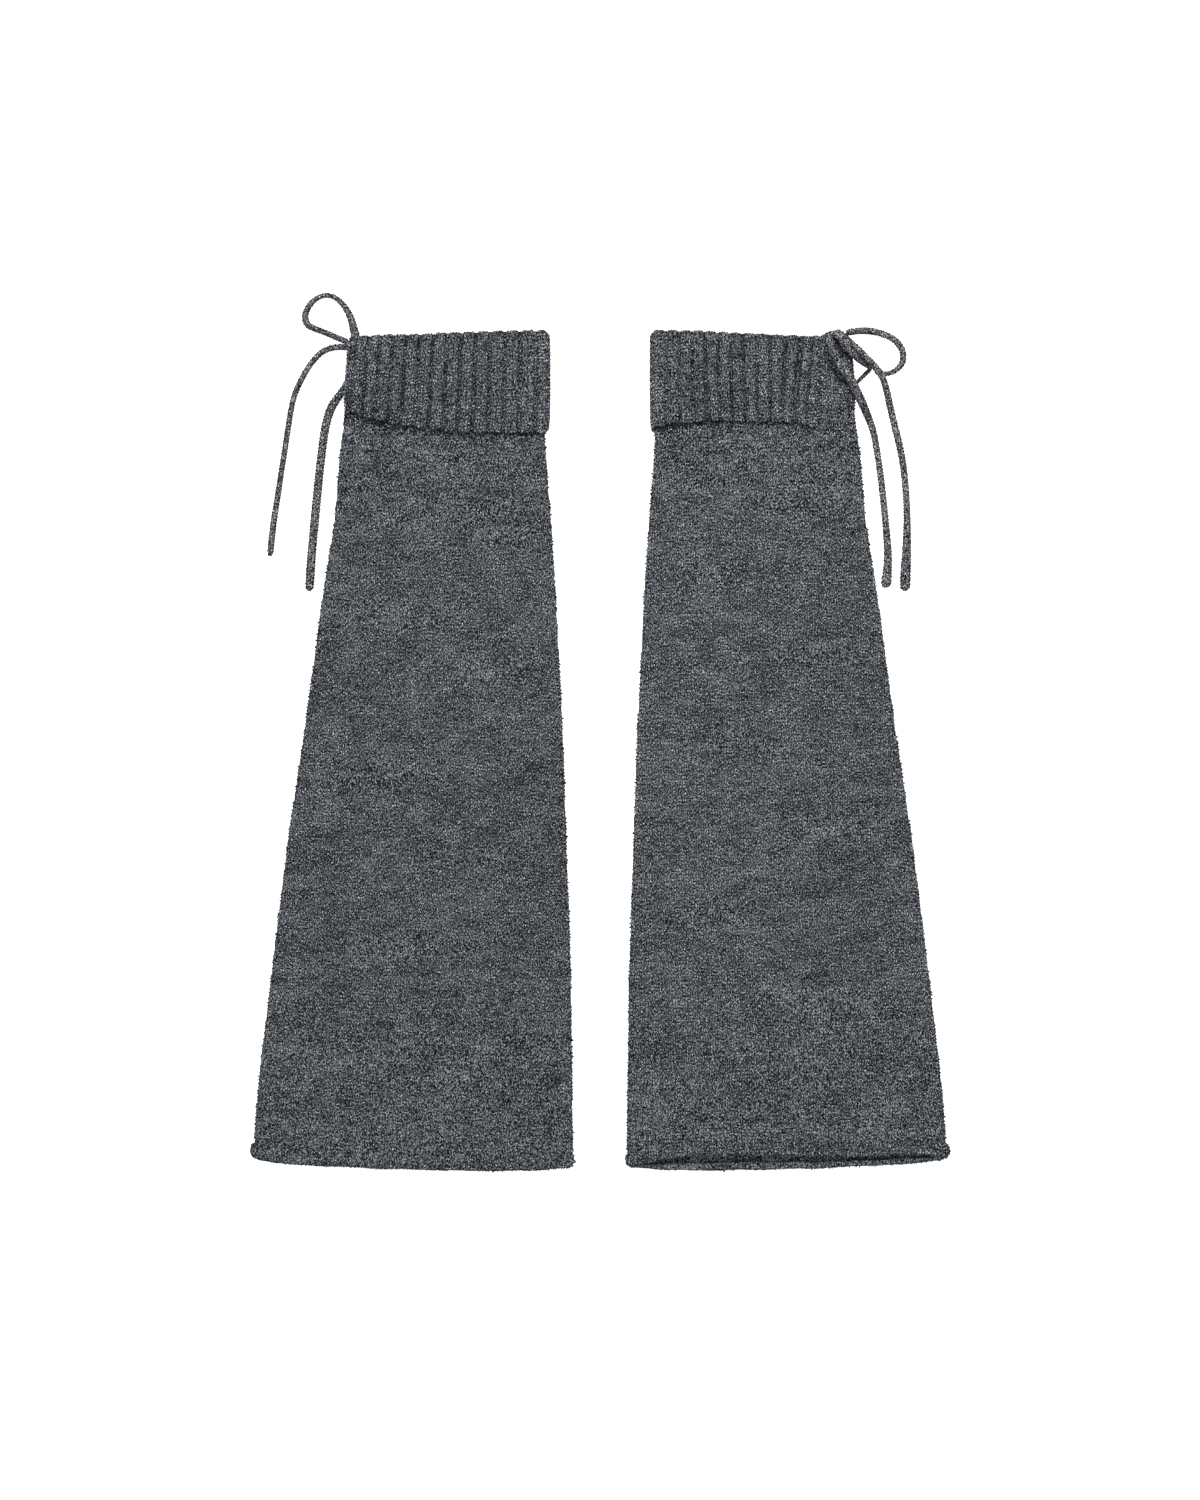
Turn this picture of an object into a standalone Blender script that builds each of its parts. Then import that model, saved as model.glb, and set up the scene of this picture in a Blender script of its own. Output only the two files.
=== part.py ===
"""A pair of knitted leg warmers lying flat on a surface.

Each leg is a flared, circular-knitted tube. Its ribbed top is turned down over it as a cuff,
and its hem curls inward, as stocking stitch does. A knitted cord is tied in a bow at the outer
top corner of each cuff. The right leg (+X) lies with its bow up, the left leg (-X) is turned
over and lies on its bow, so the two are mirror images.

Lengths here are millimetres, and each mesh is made in metres. A place on a leg is (across, down,
height): across from the line midway between the legs, down from the highest point of the top
fold, and height above the surface.
"""

import math

import bmesh
import bpy
import numpy as np
from mathutils import Matrix, Vector

MM = 0.001

# Driving sizes.
LENGTH = 505.0  # from the top fold to the lowest point of the hem
WALL = 2.0  # the leg's stocking stitch
CUFF_WALL = 2.2  # the cuff's rib, at the crest of a rib
SEAM = 0.3  # the space kept between two pieces
RIB_DEPTH = 0.9
RIBS_ACROSS = 13
RIB_NARROWING = 0.25  # how much narrower a rib is at the tied corner than at the inner side
CORD_DIAMETER = 4.2
CUFF_LIFT = CUFF_WALL + SEAM  # the turned-down cuff lies under the leg too


def table(columns, *rows):
    return {name: [row[i] for row in rows] for i, name in enumerate(columns.split())}


# The leg's outline: its outer and inner edge, half the thin hollow between its two layers,
# and how far it is held up by the cuff under it (1 where it lies on the cuff).
LEG = table(
    "down outer inner half_gap on_cuff",
    (0, 148.4, 32.1, 0.5, 1.0),
    (27, 150.2, 32.1, 0.5, 1.0),
    (50, 151.9, 32.1, 0.5, 1.0),
    (57, 153.2, 32.6, 0.5, 1.0),
    (64, 155.2, 33.0, 0.5, 1.0),
    (74, 156.4, 32.2, 0.5, 0.5),
    (88, 157.6, 31.1, 0.5, 0.0),
    (110, 159.4, 29.2, 0.5, 0.0),
    (126, 161.6, 28.2, 0.5, 0.0),
    (162, 167.4, 26.0, 0.5, 0.0),
    (234, 177.0, 22.2, 0.5, 0.0),
    (306, 187.8, 19.8, 0.5, 0.0),
    (378, 196.8, 17.2, 0.5, 0.0),
    (450, 205.2, 16.2, 0.6, 0.0),
    (474, 207.2, 15.9, 1.3, 0.0),
    (490, 208.2, 15.7, 2.5, 0.0),
    (505, 208.6, 15.6, 2.7, 0.0),
)

# Where the top fold, the cuff's lower edge and the hem run, as distances down. The front is
# the side that carries the bow. It is drawn up a little, so the back shows below its hem.
TOP_FOLD = table(
    "across down",
    (30, 2.0),
    (33, 0.5),
    (37, 0.0),
    (69, 0.9),
    (102, 2.3),
    (130, 3.2),
    (152, 4.0),
)
CUFF_EDGE = table(
    "across front back",
    (30, 61.0, 63.0),
    (41, 56.4, 62.0),
    (73, 54.8, 62.0),
    (90, 55.6, 61.6),
    (112, 56.4, 58.6),
    (132, 60.5, 55.6),
    (152, 61.5, 49.0),
)
HEM = table(
    "across front back",
    (16, 502.5, 503.5),
    (28, 501.2, 504.8),
    (50, 496.4, 505.0),
    (100, 496.9, 504.6),
    (135, 497.4, 503.6),
    (150, 498.8, 502.6),
    (170, 495.7, 502.0),
    (184, 495.8, 501.8),
    (200, 497.8, 500.6),
    (208, 496.8, 498.8),
)

# The knot and the cord that pass under a cuff hold its outer corner up by this much, and the
# cloth slopes down from there to the surface, across the leg and along it.
TIE_ROOM = table(
    "down left right",
    (6, 6.4, 0.0),
    (22, 6.4, 3.8),
    (38, 6.2, 3.8),
    (50, 5.2, 3.0),
    (64, 3.9, 1.9),
    (74, 2.8, 1.2),
    (88, 1.5, 0.5),
    (110, 0.0, 0.0),
)
ROOM_FROM, ROOM_FULL = 0.25, 0.875  # shares of the way across

# The cord pulls the right cuff's fold up to a peak, and its ribs towards the tied corner.
PEAK = {"left": (0.0, 141.0, 12.0), "right": (4.0, 141.0, 12.0)}  # height, across, half width
GATHER = {"left": 0.0, "right": 5.0}
GATHER_AT, GATHER_WIDTH = 0.84, 0.28  # as shares of the way across

# The curled hem's section: down from the hem line, and out from the face of the hollow.
HEM_CURL = (
    (-6.0, 2.0),
    (-3.2, 1.9),
    (-1.2, 1.3),
    (-0.2, 0.2),
    (-0.1, -1.0),
    (-1.2, -2.0),
    (-2.8, -2.3),
    (-4.2, -1.6),
    (-4.8, -0.2),
)
HEM_BULGE = {"outer": 1.9, "inner": 0.6}  # how far the curl stands out at each side fold

FOLD_ANGLES = (60, 30, 0, -30, -60)

# Routes of the cords: across, down and height of the centre, and its radius as a share of half
# the cord's diameter, because a knitted cord lies flatter and wider in some places.
CORDS = {
    "left_tie_loop": (
        (146.4, 5.2, 2.1, 0.9),
        (148.2, -2.4, 2.1, 0.9),
        (150.4, -9.3, 2.1, 0.92),
        (153.8, -14.9, 2.1, 0.85),
        (158.2, -19.1, 2.1, 0.75),
        (163.2, -21.0, 2.1, 0.72),
        (168.5, -20.0, 2.1, 0.75),
        (173.0, -16.8, 2.1, 0.85),
        (176.0, -12.2, 2.1, 0.92),
        (177.1, -7.4, 2.1, 0.95),
        (175.3, -3.2, 2.1, 0.95),
        (170.5, -0.7, 2.1, 0.9),
        (164.8, 1.4, 2.1, 0.85),
        (158.6, 4.1, 2.3, 0.85),
        (154.2, 6.0, 2.9, 0.85),
        (151.2, 7.2, 3.3, 0.85),
    ),
    "left_tie_tail_outer": (
        (150.4, 10.8, 2.0, 0.88),
        (153.6, 10.1, 2.0, 0.88),
        (158.0, 10.1, 2.0, 0.88),
        (162.4, 10.9, 2.1, 0.9),
        (167.2, 13.3, 2.1, 0.88),
        (172.0, 18.0, 2.1, 0.86),
        (176.2, 23.9, 2.1, 0.85),
        (179.8, 30.5, 2.1, 0.85),
        (182.8, 37.2, 2.1, 0.85),
        (184.8, 44.0, 2.1, 0.85),
        (186.9, 56.0, 2.1, 0.85),
        (189.3, 72.0, 2.1, 0.85),
        (191.5, 86.0, 2.1, 0.85),
        (193.5, 99.5, 2.1, 0.88),
        (195.8, 114.0, 2.1, 0.92),
        (197.2, 126.0, 2.1, 0.95),
        (198.2, 135.6, 2.1, 0.95),
    ),
    "left_tie_tail_inner": (
        (145.6, 14.3, 2.6, 1.0),
        (147.6, 21.5, 2.6, 1.05),
        (149.8, 27.8, 2.6, 1.1),
        (152.8, 34.0, 2.7, 1.15),
        (156.8, 39.6, 2.8, 1.2),
        (160.6, 45.1, 2.8, 1.25),
        (163.2, 51.6, 2.8, 1.25),
        (165.2, 60.0, 2.8, 1.22),
        (167.0, 73.0, 2.8, 1.2),
        (168.6, 87.0, 2.8, 1.22),
        (170.1, 102.0, 2.8, 1.25),
        (171.5, 117.0, 2.8, 1.25),
        (172.9, 132.0, 2.8, 1.25),
        (173.9, 146.0, 2.9, 1.3),
        (174.5, 156.6, 2.9, 1.25),
    ),
    "right_tie_loop_front": (
        (147.2, 2.6, 13.8, 1.0),
        (152.6, 1.6, 11.6, 1.0),
        (157.4, 1.0, 8.8, 1.0),
        (163.2, 1.0, 5.4, 1.0),
        (168.8, 2.0, 3.2, 0.98),
        (174.4, 4.2, 2.4, 0.95),
        (178.9, 7.8, 2.3, 0.95),
        (181.8, 12.8, 2.3, 0.95),
        (181.7, 18.8, 2.3, 0.9),
        (178.6, 23.2, 2.2, 0.8),
        (174.0, 25.7, 2.1, 0.7),
        (169.0, 25.9, 2.1, 0.75),
        (164.9, 23.9, 2.2, 0.8),
    ),
    "right_tie_loop_back": (
        (143.9, 8.0, 13.8, 0.95),
        (147.4, 11.7, 14.8, 0.98),
        (151.2, 15.5, 14.2, 0.96),
        (155.0, 18.5, 10.4, 0.94),
        (158.5, 21.2, 6.4, 0.9),
        (161.2, 23.6, 4.1, 0.8),
        (161.1, 26.2, 2.5, 0.66),
        (158.3, 28.7, 1.9, 0.62),
        (154.6, 31.1, 1.8, 0.62),
        (149.8, 34.2, 1.8, 0.64),
    ),
    "right_tie_tail_inner": (
        (138.6, 8.2, 13.2, 1.05),
        (139.0, 13.4, 14.4, 1.15),
        (141.6, 18.2, 16.3, 1.2),
        (145.0, 24.0, 17.2, 1.22),
        (148.8, 29.4, 17.0, 1.22),
        (151.8, 35.1, 16.0, 1.22),
        (155.1, 41.1, 13.4, 1.22),
        (158.4, 47.3, 8.8, 1.18),
        (161.4, 53.6, 4.6, 1.08),
        (164.2, 61.4, 2.9, 0.98),
        (166.2, 72.0, 2.3, 0.95),
        (168.0, 84.0, 2.3, 0.95),
        (169.8, 99.0, 2.3, 0.98),
        (171.6, 117.0, 2.3, 1.0),
        (172.8, 134.0, 2.5, 1.1),
        (172.4, 147.0, 2.9, 1.3),
        (171.8, 155.4, 2.9, 1.25),
    ),
    "right_tie_tail_outer": (
        (147.6, 6.5, 12.7, 1.0),
        (154.7, 12.2, 12.8, 1.0),
        (160.0, 17.1, 10.7, 1.0),
        (165.0, 22.1, 8.0, 1.0),
        (169.0, 28.1, 6.8, 0.98),
        (171.7, 35.3, 4.6, 0.98),
        (173.9, 44.6, 2.6, 1.0),
        (176.4, 55.2, 2.3, 1.02),
        (179.2, 66.6, 2.3, 1.02),
        (181.7, 79.0, 2.3, 1.0),
        (183.2, 92.0, 2.3, 0.98),
        (184.2, 107.0, 2.3, 0.98),
        (184.3, 123.0, 2.5, 1.08),
        (183.7, 138.0, 2.8, 1.25),
        (183.2, 150.0, 2.9, 1.32),
        (183.0, 156.8, 2.9, 1.25),
    ),
}
CORD_STEP = 2 * CORD_DIAMETER
END_ROUNDING = 0.6  # a cut end's radius, as a share of the cord's there

# The knots: place of the centre, and half their size each way.
KNOTS = {
    "left_tie_knot": ((145.0, 9.6, 3.0), (4.8, 4.2, 2.8)),
    "right_tie_knot": ((142.2, 3.6, 13.6), (4.6, 3.6, 3.0)),
}

# Colour, roughness.
YARN = {
    "tube": ((0.099, 0.107, 0.115), 0.95),
    "cuff": ((0.093, 0.100, 0.108), 0.95),
    "tie": ((0.150, 0.152, 0.162), 0.9),
}


def read(values, column, at):
    """A table's column at a place, on a smooth curve through its rows that never overshoots."""
    places = np.array(next(iter(values.values())), float)
    heights = np.array(values[column], float)
    at = min(max(at, places[0]), places[-1])
    rises = np.diff(heights) / np.diff(places)
    slopes = np.zeros(len(places))
    for i in range(1, len(places) - 1):
        if rises[i - 1] * rises[i] > 0:
            slopes[i] = 2 * rises[i - 1] * rises[i] / (rises[i - 1] + rises[i])
    slopes[0], slopes[-1] = rises[0], rises[-1]
    i = min(int(np.searchsorted(places, at, side="right")) - 1, len(places) - 2)
    width = places[i + 1] - places[i]
    t = (at - places[i]) / width
    return float(
        heights[i] * (1 + 2 * t) * (1 - t) ** 2
        + slopes[i] * width * t * (1 - t) ** 2
        + heights[i + 1] * t * t * (3 - 2 * t)
        - slopes[i + 1] * width * t * t * (1 - t)
    )


class Leg:
    """One leg warmer: which side of the pair it is on, and which of its sides is up."""

    def __init__(self, side):
        self.side = side
        self.sign = 1 if side == "right" else -1
        self.upper, self.lower = ("front", "back") if side == "right" else ("back", "front")

    def across(self, share, down):
        inner, outer = read(LEG, "inner", down), read(LEG, "outer", down)
        return inner + share * (outer - inner)

    def edge(self, values, share, angle, down):
        """A front-and-back table read where a column runs, blended round the side folds."""
        across = self.across(share, down)
        up = (1 + math.sin(math.radians(angle))) / 2
        return up * read(values, self.upper, across) + (1 - up) * read(values, self.lower, across)

    def top(self, share):
        return read(TOP_FOLD, "down", self.across(share, 0))

    def peak(self, share, angle):
        height, middle, half_width = PEAK[self.side]
        near = max(0.0, 1 - abs(self.across(share, 0) - middle) / half_width)
        return height * near * near * (3 - 2 * near) * max(0.0, math.sin(math.radians(angle)))

    def place(self, share, angle, down, out, pull=0.0):
        """A point of the cloth, in metres. Its column crosses the leg at that share of the width
        and faces that angle round the tube, and out is its distance from the hollow's face."""
        half_gap = read(LEG, "half_gap", down)
        side_wall = WALL + half_gap
        inner = read(LEG, "inner", down) + side_wall
        outer = read(LEG, "outer", down) - side_wall
        turn = math.radians(angle)
        across = inner + share * (outer - inner) + pull + (half_gap + out) * math.cos(turn)
        under = read(LEG, "on_cuff", down) * CUFF_LIFT
        room = np.interp(down, TIE_ROOM["down"], TIE_ROOM[self.side])
        under += room * np.interp(share, (ROOM_FROM, ROOM_FULL), (0, 1))
        height = under + side_wall + (half_gap + out) * math.sin(turn)
        return self.point(across, down, height)

    def point(self, across, down, height):
        return Vector((self.sign * across, LENGTH / 2 - down, height)) * MM


def plain_columns(across):
    """(share, angle) for each column of a ring: over the top, round the outer fold, back
    underneath, and round the inner fold."""
    shares = [i / across for i in range(across + 1)]
    return round_the_tube(shares)


def rib_columns():
    """The same for the cuff, with three columns to a rib, and which of them are grooves."""
    widths = [1 - RIB_NARROWING * i / (RIBS_ACROSS - 1) for i in range(RIBS_ACROSS)]
    starts = np.concatenate([[0], np.cumsum(widths)]) / sum(widths)
    shares, grooves = [], []
    for start, end in zip(starts[:-1], starts[1:]):
        shares += [start, start + 0.25 * (end - start), start + 0.75 * (end - start)]
        grooves.append(start)
    shares.append(1.0)
    grooves.append(1.0)
    return round_the_tube(shares), grooves


def round_the_tube(shares):
    over = [(share, 90) for share in shares]
    outer = [(1.0, angle) for angle in FOLD_ANGLES]
    under = [(share, -90) for share in reversed(shares)]
    inner = [(0.0, 180 - angle) for angle in reversed(FOLD_ANGLES)]
    return over + outer + under + inner


def closed_ring(name, columns, profile):
    """A solid whose every column is the same closed profile, joined to the next column."""
    bm = bmesh.new()
    loops = [[bm.verts.new(point) for point in profile(*column)] for column in columns]
    for loop, following in zip(loops, loops[1:] + loops[:1]):
        for i in range(len(loop)):
            bm.faces.new((loop[i - 1], loop[i], following[i], following[i - 1]))
    bmesh.ops.recalc_face_normals(bm, faces=bm.faces)
    bmesh.ops.triangulate(bm, faces=bm.faces)
    mesh = bpy.data.meshes.new(name)
    bm.to_mesh(mesh)
    bm.free()
    mesh.shade_smooth()
    return add(name, mesh)


def add(name, data):
    obj = bpy.data.objects.new(name, data)
    bpy.context.scene.collection.objects.link(obj)
    return obj


def finish(obj, yarn):
    colour, roughness = YARN[yarn]
    material = bpy.data.materials.new(obj.name)
    material.use_nodes = True
    shader = material.node_tree.nodes["Principled BSDF"]
    shader.inputs["Base Color"].default_value = (*colour, 1)
    shader.inputs["Roughness"].default_value = roughness
    shader.inputs["Metallic"].default_value = 0
    obj.data.materials.append(material)


def leg_tube(leg):
    """The flared leg, from just under the top fold to its curled hem."""
    outer_rows = (14, 22, 38, 50, 57, 64, 74, 88, 110, 126, 162, 234, 306, 378, 450, 474, 488)
    inner_rows = (488, 474, 450, 342, 234, 162, 110, 88, 64, 50, 38, 22)

    def profile(share, angle):
        head = leg.top(share) + CUFF_WALL + 2 * SEAM
        hem = leg.edge(HEM, share, angle, LENGTH)
        sideways = max(0.0, abs(math.cos(math.radians(angle))) - 0.2)
        bulge = HEM_BULGE["outer" if share == 1.0 else "inner"] * sideways
        points = [leg.place(share, angle, head, 0), leg.place(share, angle, head, WALL)]
        points += [leg.place(share, angle, row, WALL) for row in outer_rows]
        for below, out in HEM_CURL:
            if out > 0.5:
                out += bulge
            elif angle not in (90, -90):
                out = max(out, -1.4)
            points.append(leg.place(share, angle, hem + below, out))
        points += [leg.place(share, angle, row, 0) for row in inner_rows]
        return points

    return closed_ring(f"{leg.side}_tube", plain_columns(8), profile)


def cuff(leg):
    """The ribbed top, folded over the tube's head and turned down over the outside."""
    columns, grooves = rib_columns()
    inside, outside = WALL + SEAM, WALL + SEAM + CUFF_WALL

    def profile(share, angle):
        seat = leg.top(share) + CUFF_WALL + SEAM
        top = leg.top(share) - leg.peak(share, angle)
        low = leg.edge(CUFF_EDGE, share, angle, 57)
        depth = RIB_DEPTH if angle in (90, -90) and share in grooves else 0.0
        near = max(0.0, 1 - abs(share - GATHER_AT) / GATHER_WIDTH)
        gather = GATHER[leg.side] * near * near * (3 - 2 * near) * (angle == 90)
        section = (
            (seat, inside),
            (seat, 0.0),
            (top + 0.6, 0.2),
            (top - 0.3 + 0.4 * depth, 1.4),
            (top - 0.2 + 0.6 * depth, 2.9),
            (top + 1.6, outside - 0.5 - 0.8 * depth),
            (top + 4.4, outside - depth),
            (22, outside - depth),
            (38, outside - depth),
            (low - 1.6, outside - depth),
            (low, outside - 0.7 - 0.7 * depth),
            (low - 0.3, inside),
            (min(50, low - 2), inside),
            (38, inside),
            (22, inside),
        )
        points = []
        for down, out in section:
            meets_the_leg = down == seat or out == inside
            pull = 0.0 if meets_the_leg else gather * max(0.0, 1 - (down - top) / (low - top))
            points.append(leg.place(share, angle, down, out, pull))
        return points

    return closed_ring(f"{leg.side}_cuff", columns, profile)


def smooth_route(points):
    """Evenly spaced points on a smooth curve through a route's points (Catmull-Rom)."""
    route = np.array([points[0], *points, points[-1]], float)
    route[0] = 2 * route[1] - route[2]
    route[-1] = 2 * route[-2] - route[-3]
    fine = []
    for a, b, c, d in zip(route, route[1:], route[2:], route[3:]):
        for t in np.linspace(0, 1, 12, endpoint=False):
            fine.append(
                0.5 * (2 * b + (c - a) * t + (2 * a - 5 * b + 4 * c - d) * t * t
                       + (3 * b - 3 * c + d - a) * t ** 3)
            )
    fine = np.array([*fine, route[-2]])
    run = np.concatenate([[0], np.cumsum(np.linalg.norm(np.diff(fine[:, :3], axis=0), axis=1))])
    count = max(2, round(run[-1] / CORD_STEP))
    at = np.linspace(0, run[-1], count + 1)
    return np.stack([np.interp(at, run, fine[:, i]) for i in range(fine.shape[1])], axis=1)


def cord(name, leg, points):
    curve = bpy.data.curves.new(name, "CURVE")
    curve.dimensions = "3D"
    curve.bevel_depth = CORD_DIAMETER / 2 * MM
    curve.bevel_resolution = 2
    curve.use_fill_caps = True
    route = smooth_route(points)
    spline = curve.splines.new("POLY")
    spline.points.add(len(route) - 1)
    for point, (across, down, height, radius) in zip(spline.points, route):
        point.co = (*leg.point(across, down, height), 1)
        point.radius = radius
    if "tail" in name:
        spline.points[-1].radius *= END_ROUNDING
    return add(name, curve)


def knot(name, leg, centre, half_size):
    bm = bmesh.new()
    bmesh.ops.create_uvsphere(bm, u_segments=14, v_segments=8, radius=MM)
    bmesh.ops.scale(bm, vec=Vector(half_size), verts=bm.verts)
    bmesh.ops.transform(bm, matrix=Matrix.Translation(leg.point(*centre)), verts=bm.verts)
    mesh = bpy.data.meshes.new(name)
    bm.to_mesh(mesh)
    bm.free()
    mesh.shade_smooth()
    return add(name, mesh)


def build():
    for obj in list(bpy.data.objects):
        bpy.data.objects.remove(obj)
    for side in ("left", "right"):
        leg = Leg(side)
        finish(leg_tube(leg), "tube")
        finish(cuff(leg), "cuff")
        for name, (centre, half_size) in KNOTS.items():
            if name.startswith(side):
                finish(knot(name, leg, centre, half_size), "tie")
        for name, points in CORDS.items():
            if name.startswith(side):
                finish(cord(name, leg, points), "tie")


build()
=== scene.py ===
# %% [markdown]
# # A pair of knitted leg warmers, laid flat
#
# A leg warmer is a knitted tube. This one is flared, its ribbed top is turned down as a cuff, and
# its plain hem curls inward. A knitted cord is tied in a bow at the outer top corner. The right
# one lies with its bow up, and the left one is turned over.
#
# The CAD solids are the frame. They hold the outline and the heights, and this script dresses
# them: a thin shell of cloth for each piece, with rows of real stitches laid on it.

# %% Load the frame
import math
from collections import namedtuple

import bmesh
import bpy
import numpy as np
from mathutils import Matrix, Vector
from mathutils.bvhtree import BVHTree


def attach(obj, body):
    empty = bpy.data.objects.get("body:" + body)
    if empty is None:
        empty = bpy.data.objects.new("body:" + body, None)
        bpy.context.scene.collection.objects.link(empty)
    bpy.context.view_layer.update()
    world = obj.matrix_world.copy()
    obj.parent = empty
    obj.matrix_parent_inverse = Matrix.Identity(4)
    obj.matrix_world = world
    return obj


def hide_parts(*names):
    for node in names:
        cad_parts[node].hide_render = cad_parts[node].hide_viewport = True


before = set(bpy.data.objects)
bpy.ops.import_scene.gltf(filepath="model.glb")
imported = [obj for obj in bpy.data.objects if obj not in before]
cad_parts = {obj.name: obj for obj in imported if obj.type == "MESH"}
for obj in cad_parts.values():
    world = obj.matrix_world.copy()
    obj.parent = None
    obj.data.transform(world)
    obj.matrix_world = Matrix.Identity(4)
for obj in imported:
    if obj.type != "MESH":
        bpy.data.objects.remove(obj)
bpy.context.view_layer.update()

print("solids:", ", ".join(sorted(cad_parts)))

# %% [markdown]
# ## Sizes
#
# Knitting is counted in wales, the columns of stitches, and courses, the rows. A leg has its own
# millimetres: `across` from the line midway between the legs, `down` from the top fold, and
# `height` above the surface. The left leg is the same shape, mirrored, so one set of numbers
# serves both.

# %% Sizes of the knitting
MM = 0.001
LENGTH = 505.0  # from the top fold to the lowest point of the hem
WALE, COURSE = 3.0, 2.0
WALL = 2.0  # the leg's cloth in the solids
CUFF_STANDS = 2.5  # the cuff's face above the leg's
CLOTH, CUFF_CLOTH = 1.2, 1.3  # the shells' own thickness, under the stitches
STITCH_STANDS = 0.55  # how far the stitches stand out of the shell
ABOVE_FLOOR = 0.02  # the least height of a strand
SLANT = {"left": 0.105, "right": 0.026}  # wales lean this much across for each unit down
SIDES = ("left", "right")
SIGN = {"left": -1, "right": 1}


def smooth_step(value, start, end):
    t = np.clip((value - start) / (end - start), 0, 1)
    return t * t * (3 - 2 * t)


def hump(distance, width):
    """1 at no distance, and falling smoothly to nearly 0 at twice the width."""
    return np.exp(-(distance / width) ** 2)


def to_world(side, across, down, height):
    """Points of a leg's own millimetres in the frame's metres."""
    return np.stack([SIGN[side] * across, LENGTH / 2 - down, height], axis=-1) * MM


print(f"{LENGTH / COURSE:.0f} courses from the top fold to the hem")

# %% [markdown]
# ## Camera, floor and light
#
# The pair lies flat and is seen from straight above. A long lens far away keeps its sides
# parallel. The floor is white, and a broad soft light above the cuffs' end lets each rib and
# stitch shade its lower side a little.

# %% Camera
LENS, SENSOR = 100.0, 36.0
VIEW_HEIGHT = 0.900  # what the long side of the picture shows, in metres
VIEW_MIDDLE = Vector((0.0, 0.0005, 0.004))


def link(name, data):
    obj = bpy.data.objects.new(name, data)
    bpy.context.scene.collection.objects.link(obj)
    return obj


camera_data = bpy.data.cameras.new("camera")
camera_data.lens, camera_data.sensor_width, camera_data.clip_end = LENS, SENSOR, 100
camera = link("camera", camera_data)
camera.location = VIEW_MIDDLE + Vector((0, 0, VIEW_HEIGHT * LENS / SENSOR))
bpy.context.scene.camera = camera
print(f"camera {camera.location.z:.2f} m above the floor")

# %% Floor and lamps
FLOOR_HALF = 4.0  # half its side, in metres
FLOOR_DROP = 0.2 * MM  # it lies just below what rests on it


def set_sockets(node, values):
    for socket, value in values.items():
        node.inputs[socket].default_value = value


def new_material(name, values):
    """A material with its node tree and its shader, whose own sockets take the values."""
    material = bpy.data.materials.new(name)
    material.use_nodes = True
    shader = material.node_tree.nodes["Principled BSDF"]
    set_sockets(shader, values)
    return material, material.node_tree, shader


def object_of(bm, name):
    """A bmesh as an object of the scene."""
    mesh = bpy.data.meshes.new(name)
    bm.to_mesh(mesh)
    bm.free()
    return link(name, mesh)


def lamp(name, place, aim, size, power):
    data = bpy.data.lights.new(name, "AREA")
    data.shape, data.size, data.energy = "DISK", size, power
    obj = link(name, data)
    obj.location = place
    obj.rotation_euler = (Vector(aim) - Vector(place)).to_track_quat("-Z", "Y").to_euler()


floor_mesh = bmesh.new()
bmesh.ops.create_grid(floor_mesh, x_segments=1, y_segments=1, size=FLOOR_HALF)
floor = object_of(floor_mesh, "floor")
floor.data.materials.append(new_material("floor_white", {
    "Base Color": (0.9, 0.9, 0.9, 1), "Roughness": 0.9, "Specular IOR Level": 0.2,
    "Emission Color": (1, 1, 1, 1), "Emission Strength": 1.0})[0])
floor.location.z = -FLOOR_DROP
floor.visible_diffuse = False  # its glow is for the eye only, so the sides of the cloth stay dark
floor.visible_glossy = False

lamp("window", (-0.35, 1.75, 1.75), (0, 0.1, 0), 0.9, 50)
lamp("fill", (0.5, -0.7, 2.6), (0, 0, 0), 2.2, 20)
world = bpy.data.worlds.new("studio")
world.use_nodes = True
set_sockets(world.node_tree.nodes["Background"], {"Color": (1, 1, 1, 1), "Strength": 0.34})
bpy.context.scene.world = world
bpy.context.scene.view_settings.view_transform = "Standard"
print("lamps:", ", ".join(light.name for light in bpy.data.lights))

# %% [markdown]
# ## Stitches
#
# Plain knitting shows a V for each stitch: two strands of yarn that lean towards each other.
# Each strand is a short spindle, thick in the middle, with its tips sunk in the cloth. One
# spindle comes from a sphere with three segments and two rings, six faces in all, and all its
# copies are joined in one mesh. With tens of thousands of strands, every face counts.

# %% One strand
TIP_DIP = 0.6  # how far a strand's tips dip, as a share of its height


def arrays_of(bm):
    """The points and faces of a bmesh of triangles, which is then freed."""
    points = np.array([v.co for v in bm.verts])
    faces = np.array([[v.index for v in f.verts] for f in bm.faces])
    bm.free()
    return points, faces


def strand_shape():
    """The points and faces of a strand of unit size: along Z, with its crown towards +Y."""
    bm = bmesh.new()
    bmesh.ops.create_uvsphere(bm, u_segments=3, v_segments=2, radius=1)
    bmesh.ops.triangulate(bm, faces=bm.faces)
    points, faces = arrays_of(bm)
    x, y = points[:, 0].copy(), points[:, 1].copy()
    waist = np.abs(points[:, 2]) < 0.5
    turn = math.pi / 2 - math.atan2(y[waist][0], x[waist][0])
    points[:, 0] = x * math.cos(turn) - y * math.sin(turn)
    points[:, 1] = x * math.sin(turn) + y * math.cos(turn)
    return points, faces


STRAND_POINTS, STRAND_FACES = strand_shape()
print(f"a strand has {len(STRAND_POINTS)} points and {len(STRAND_FACES)} faces")


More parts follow.
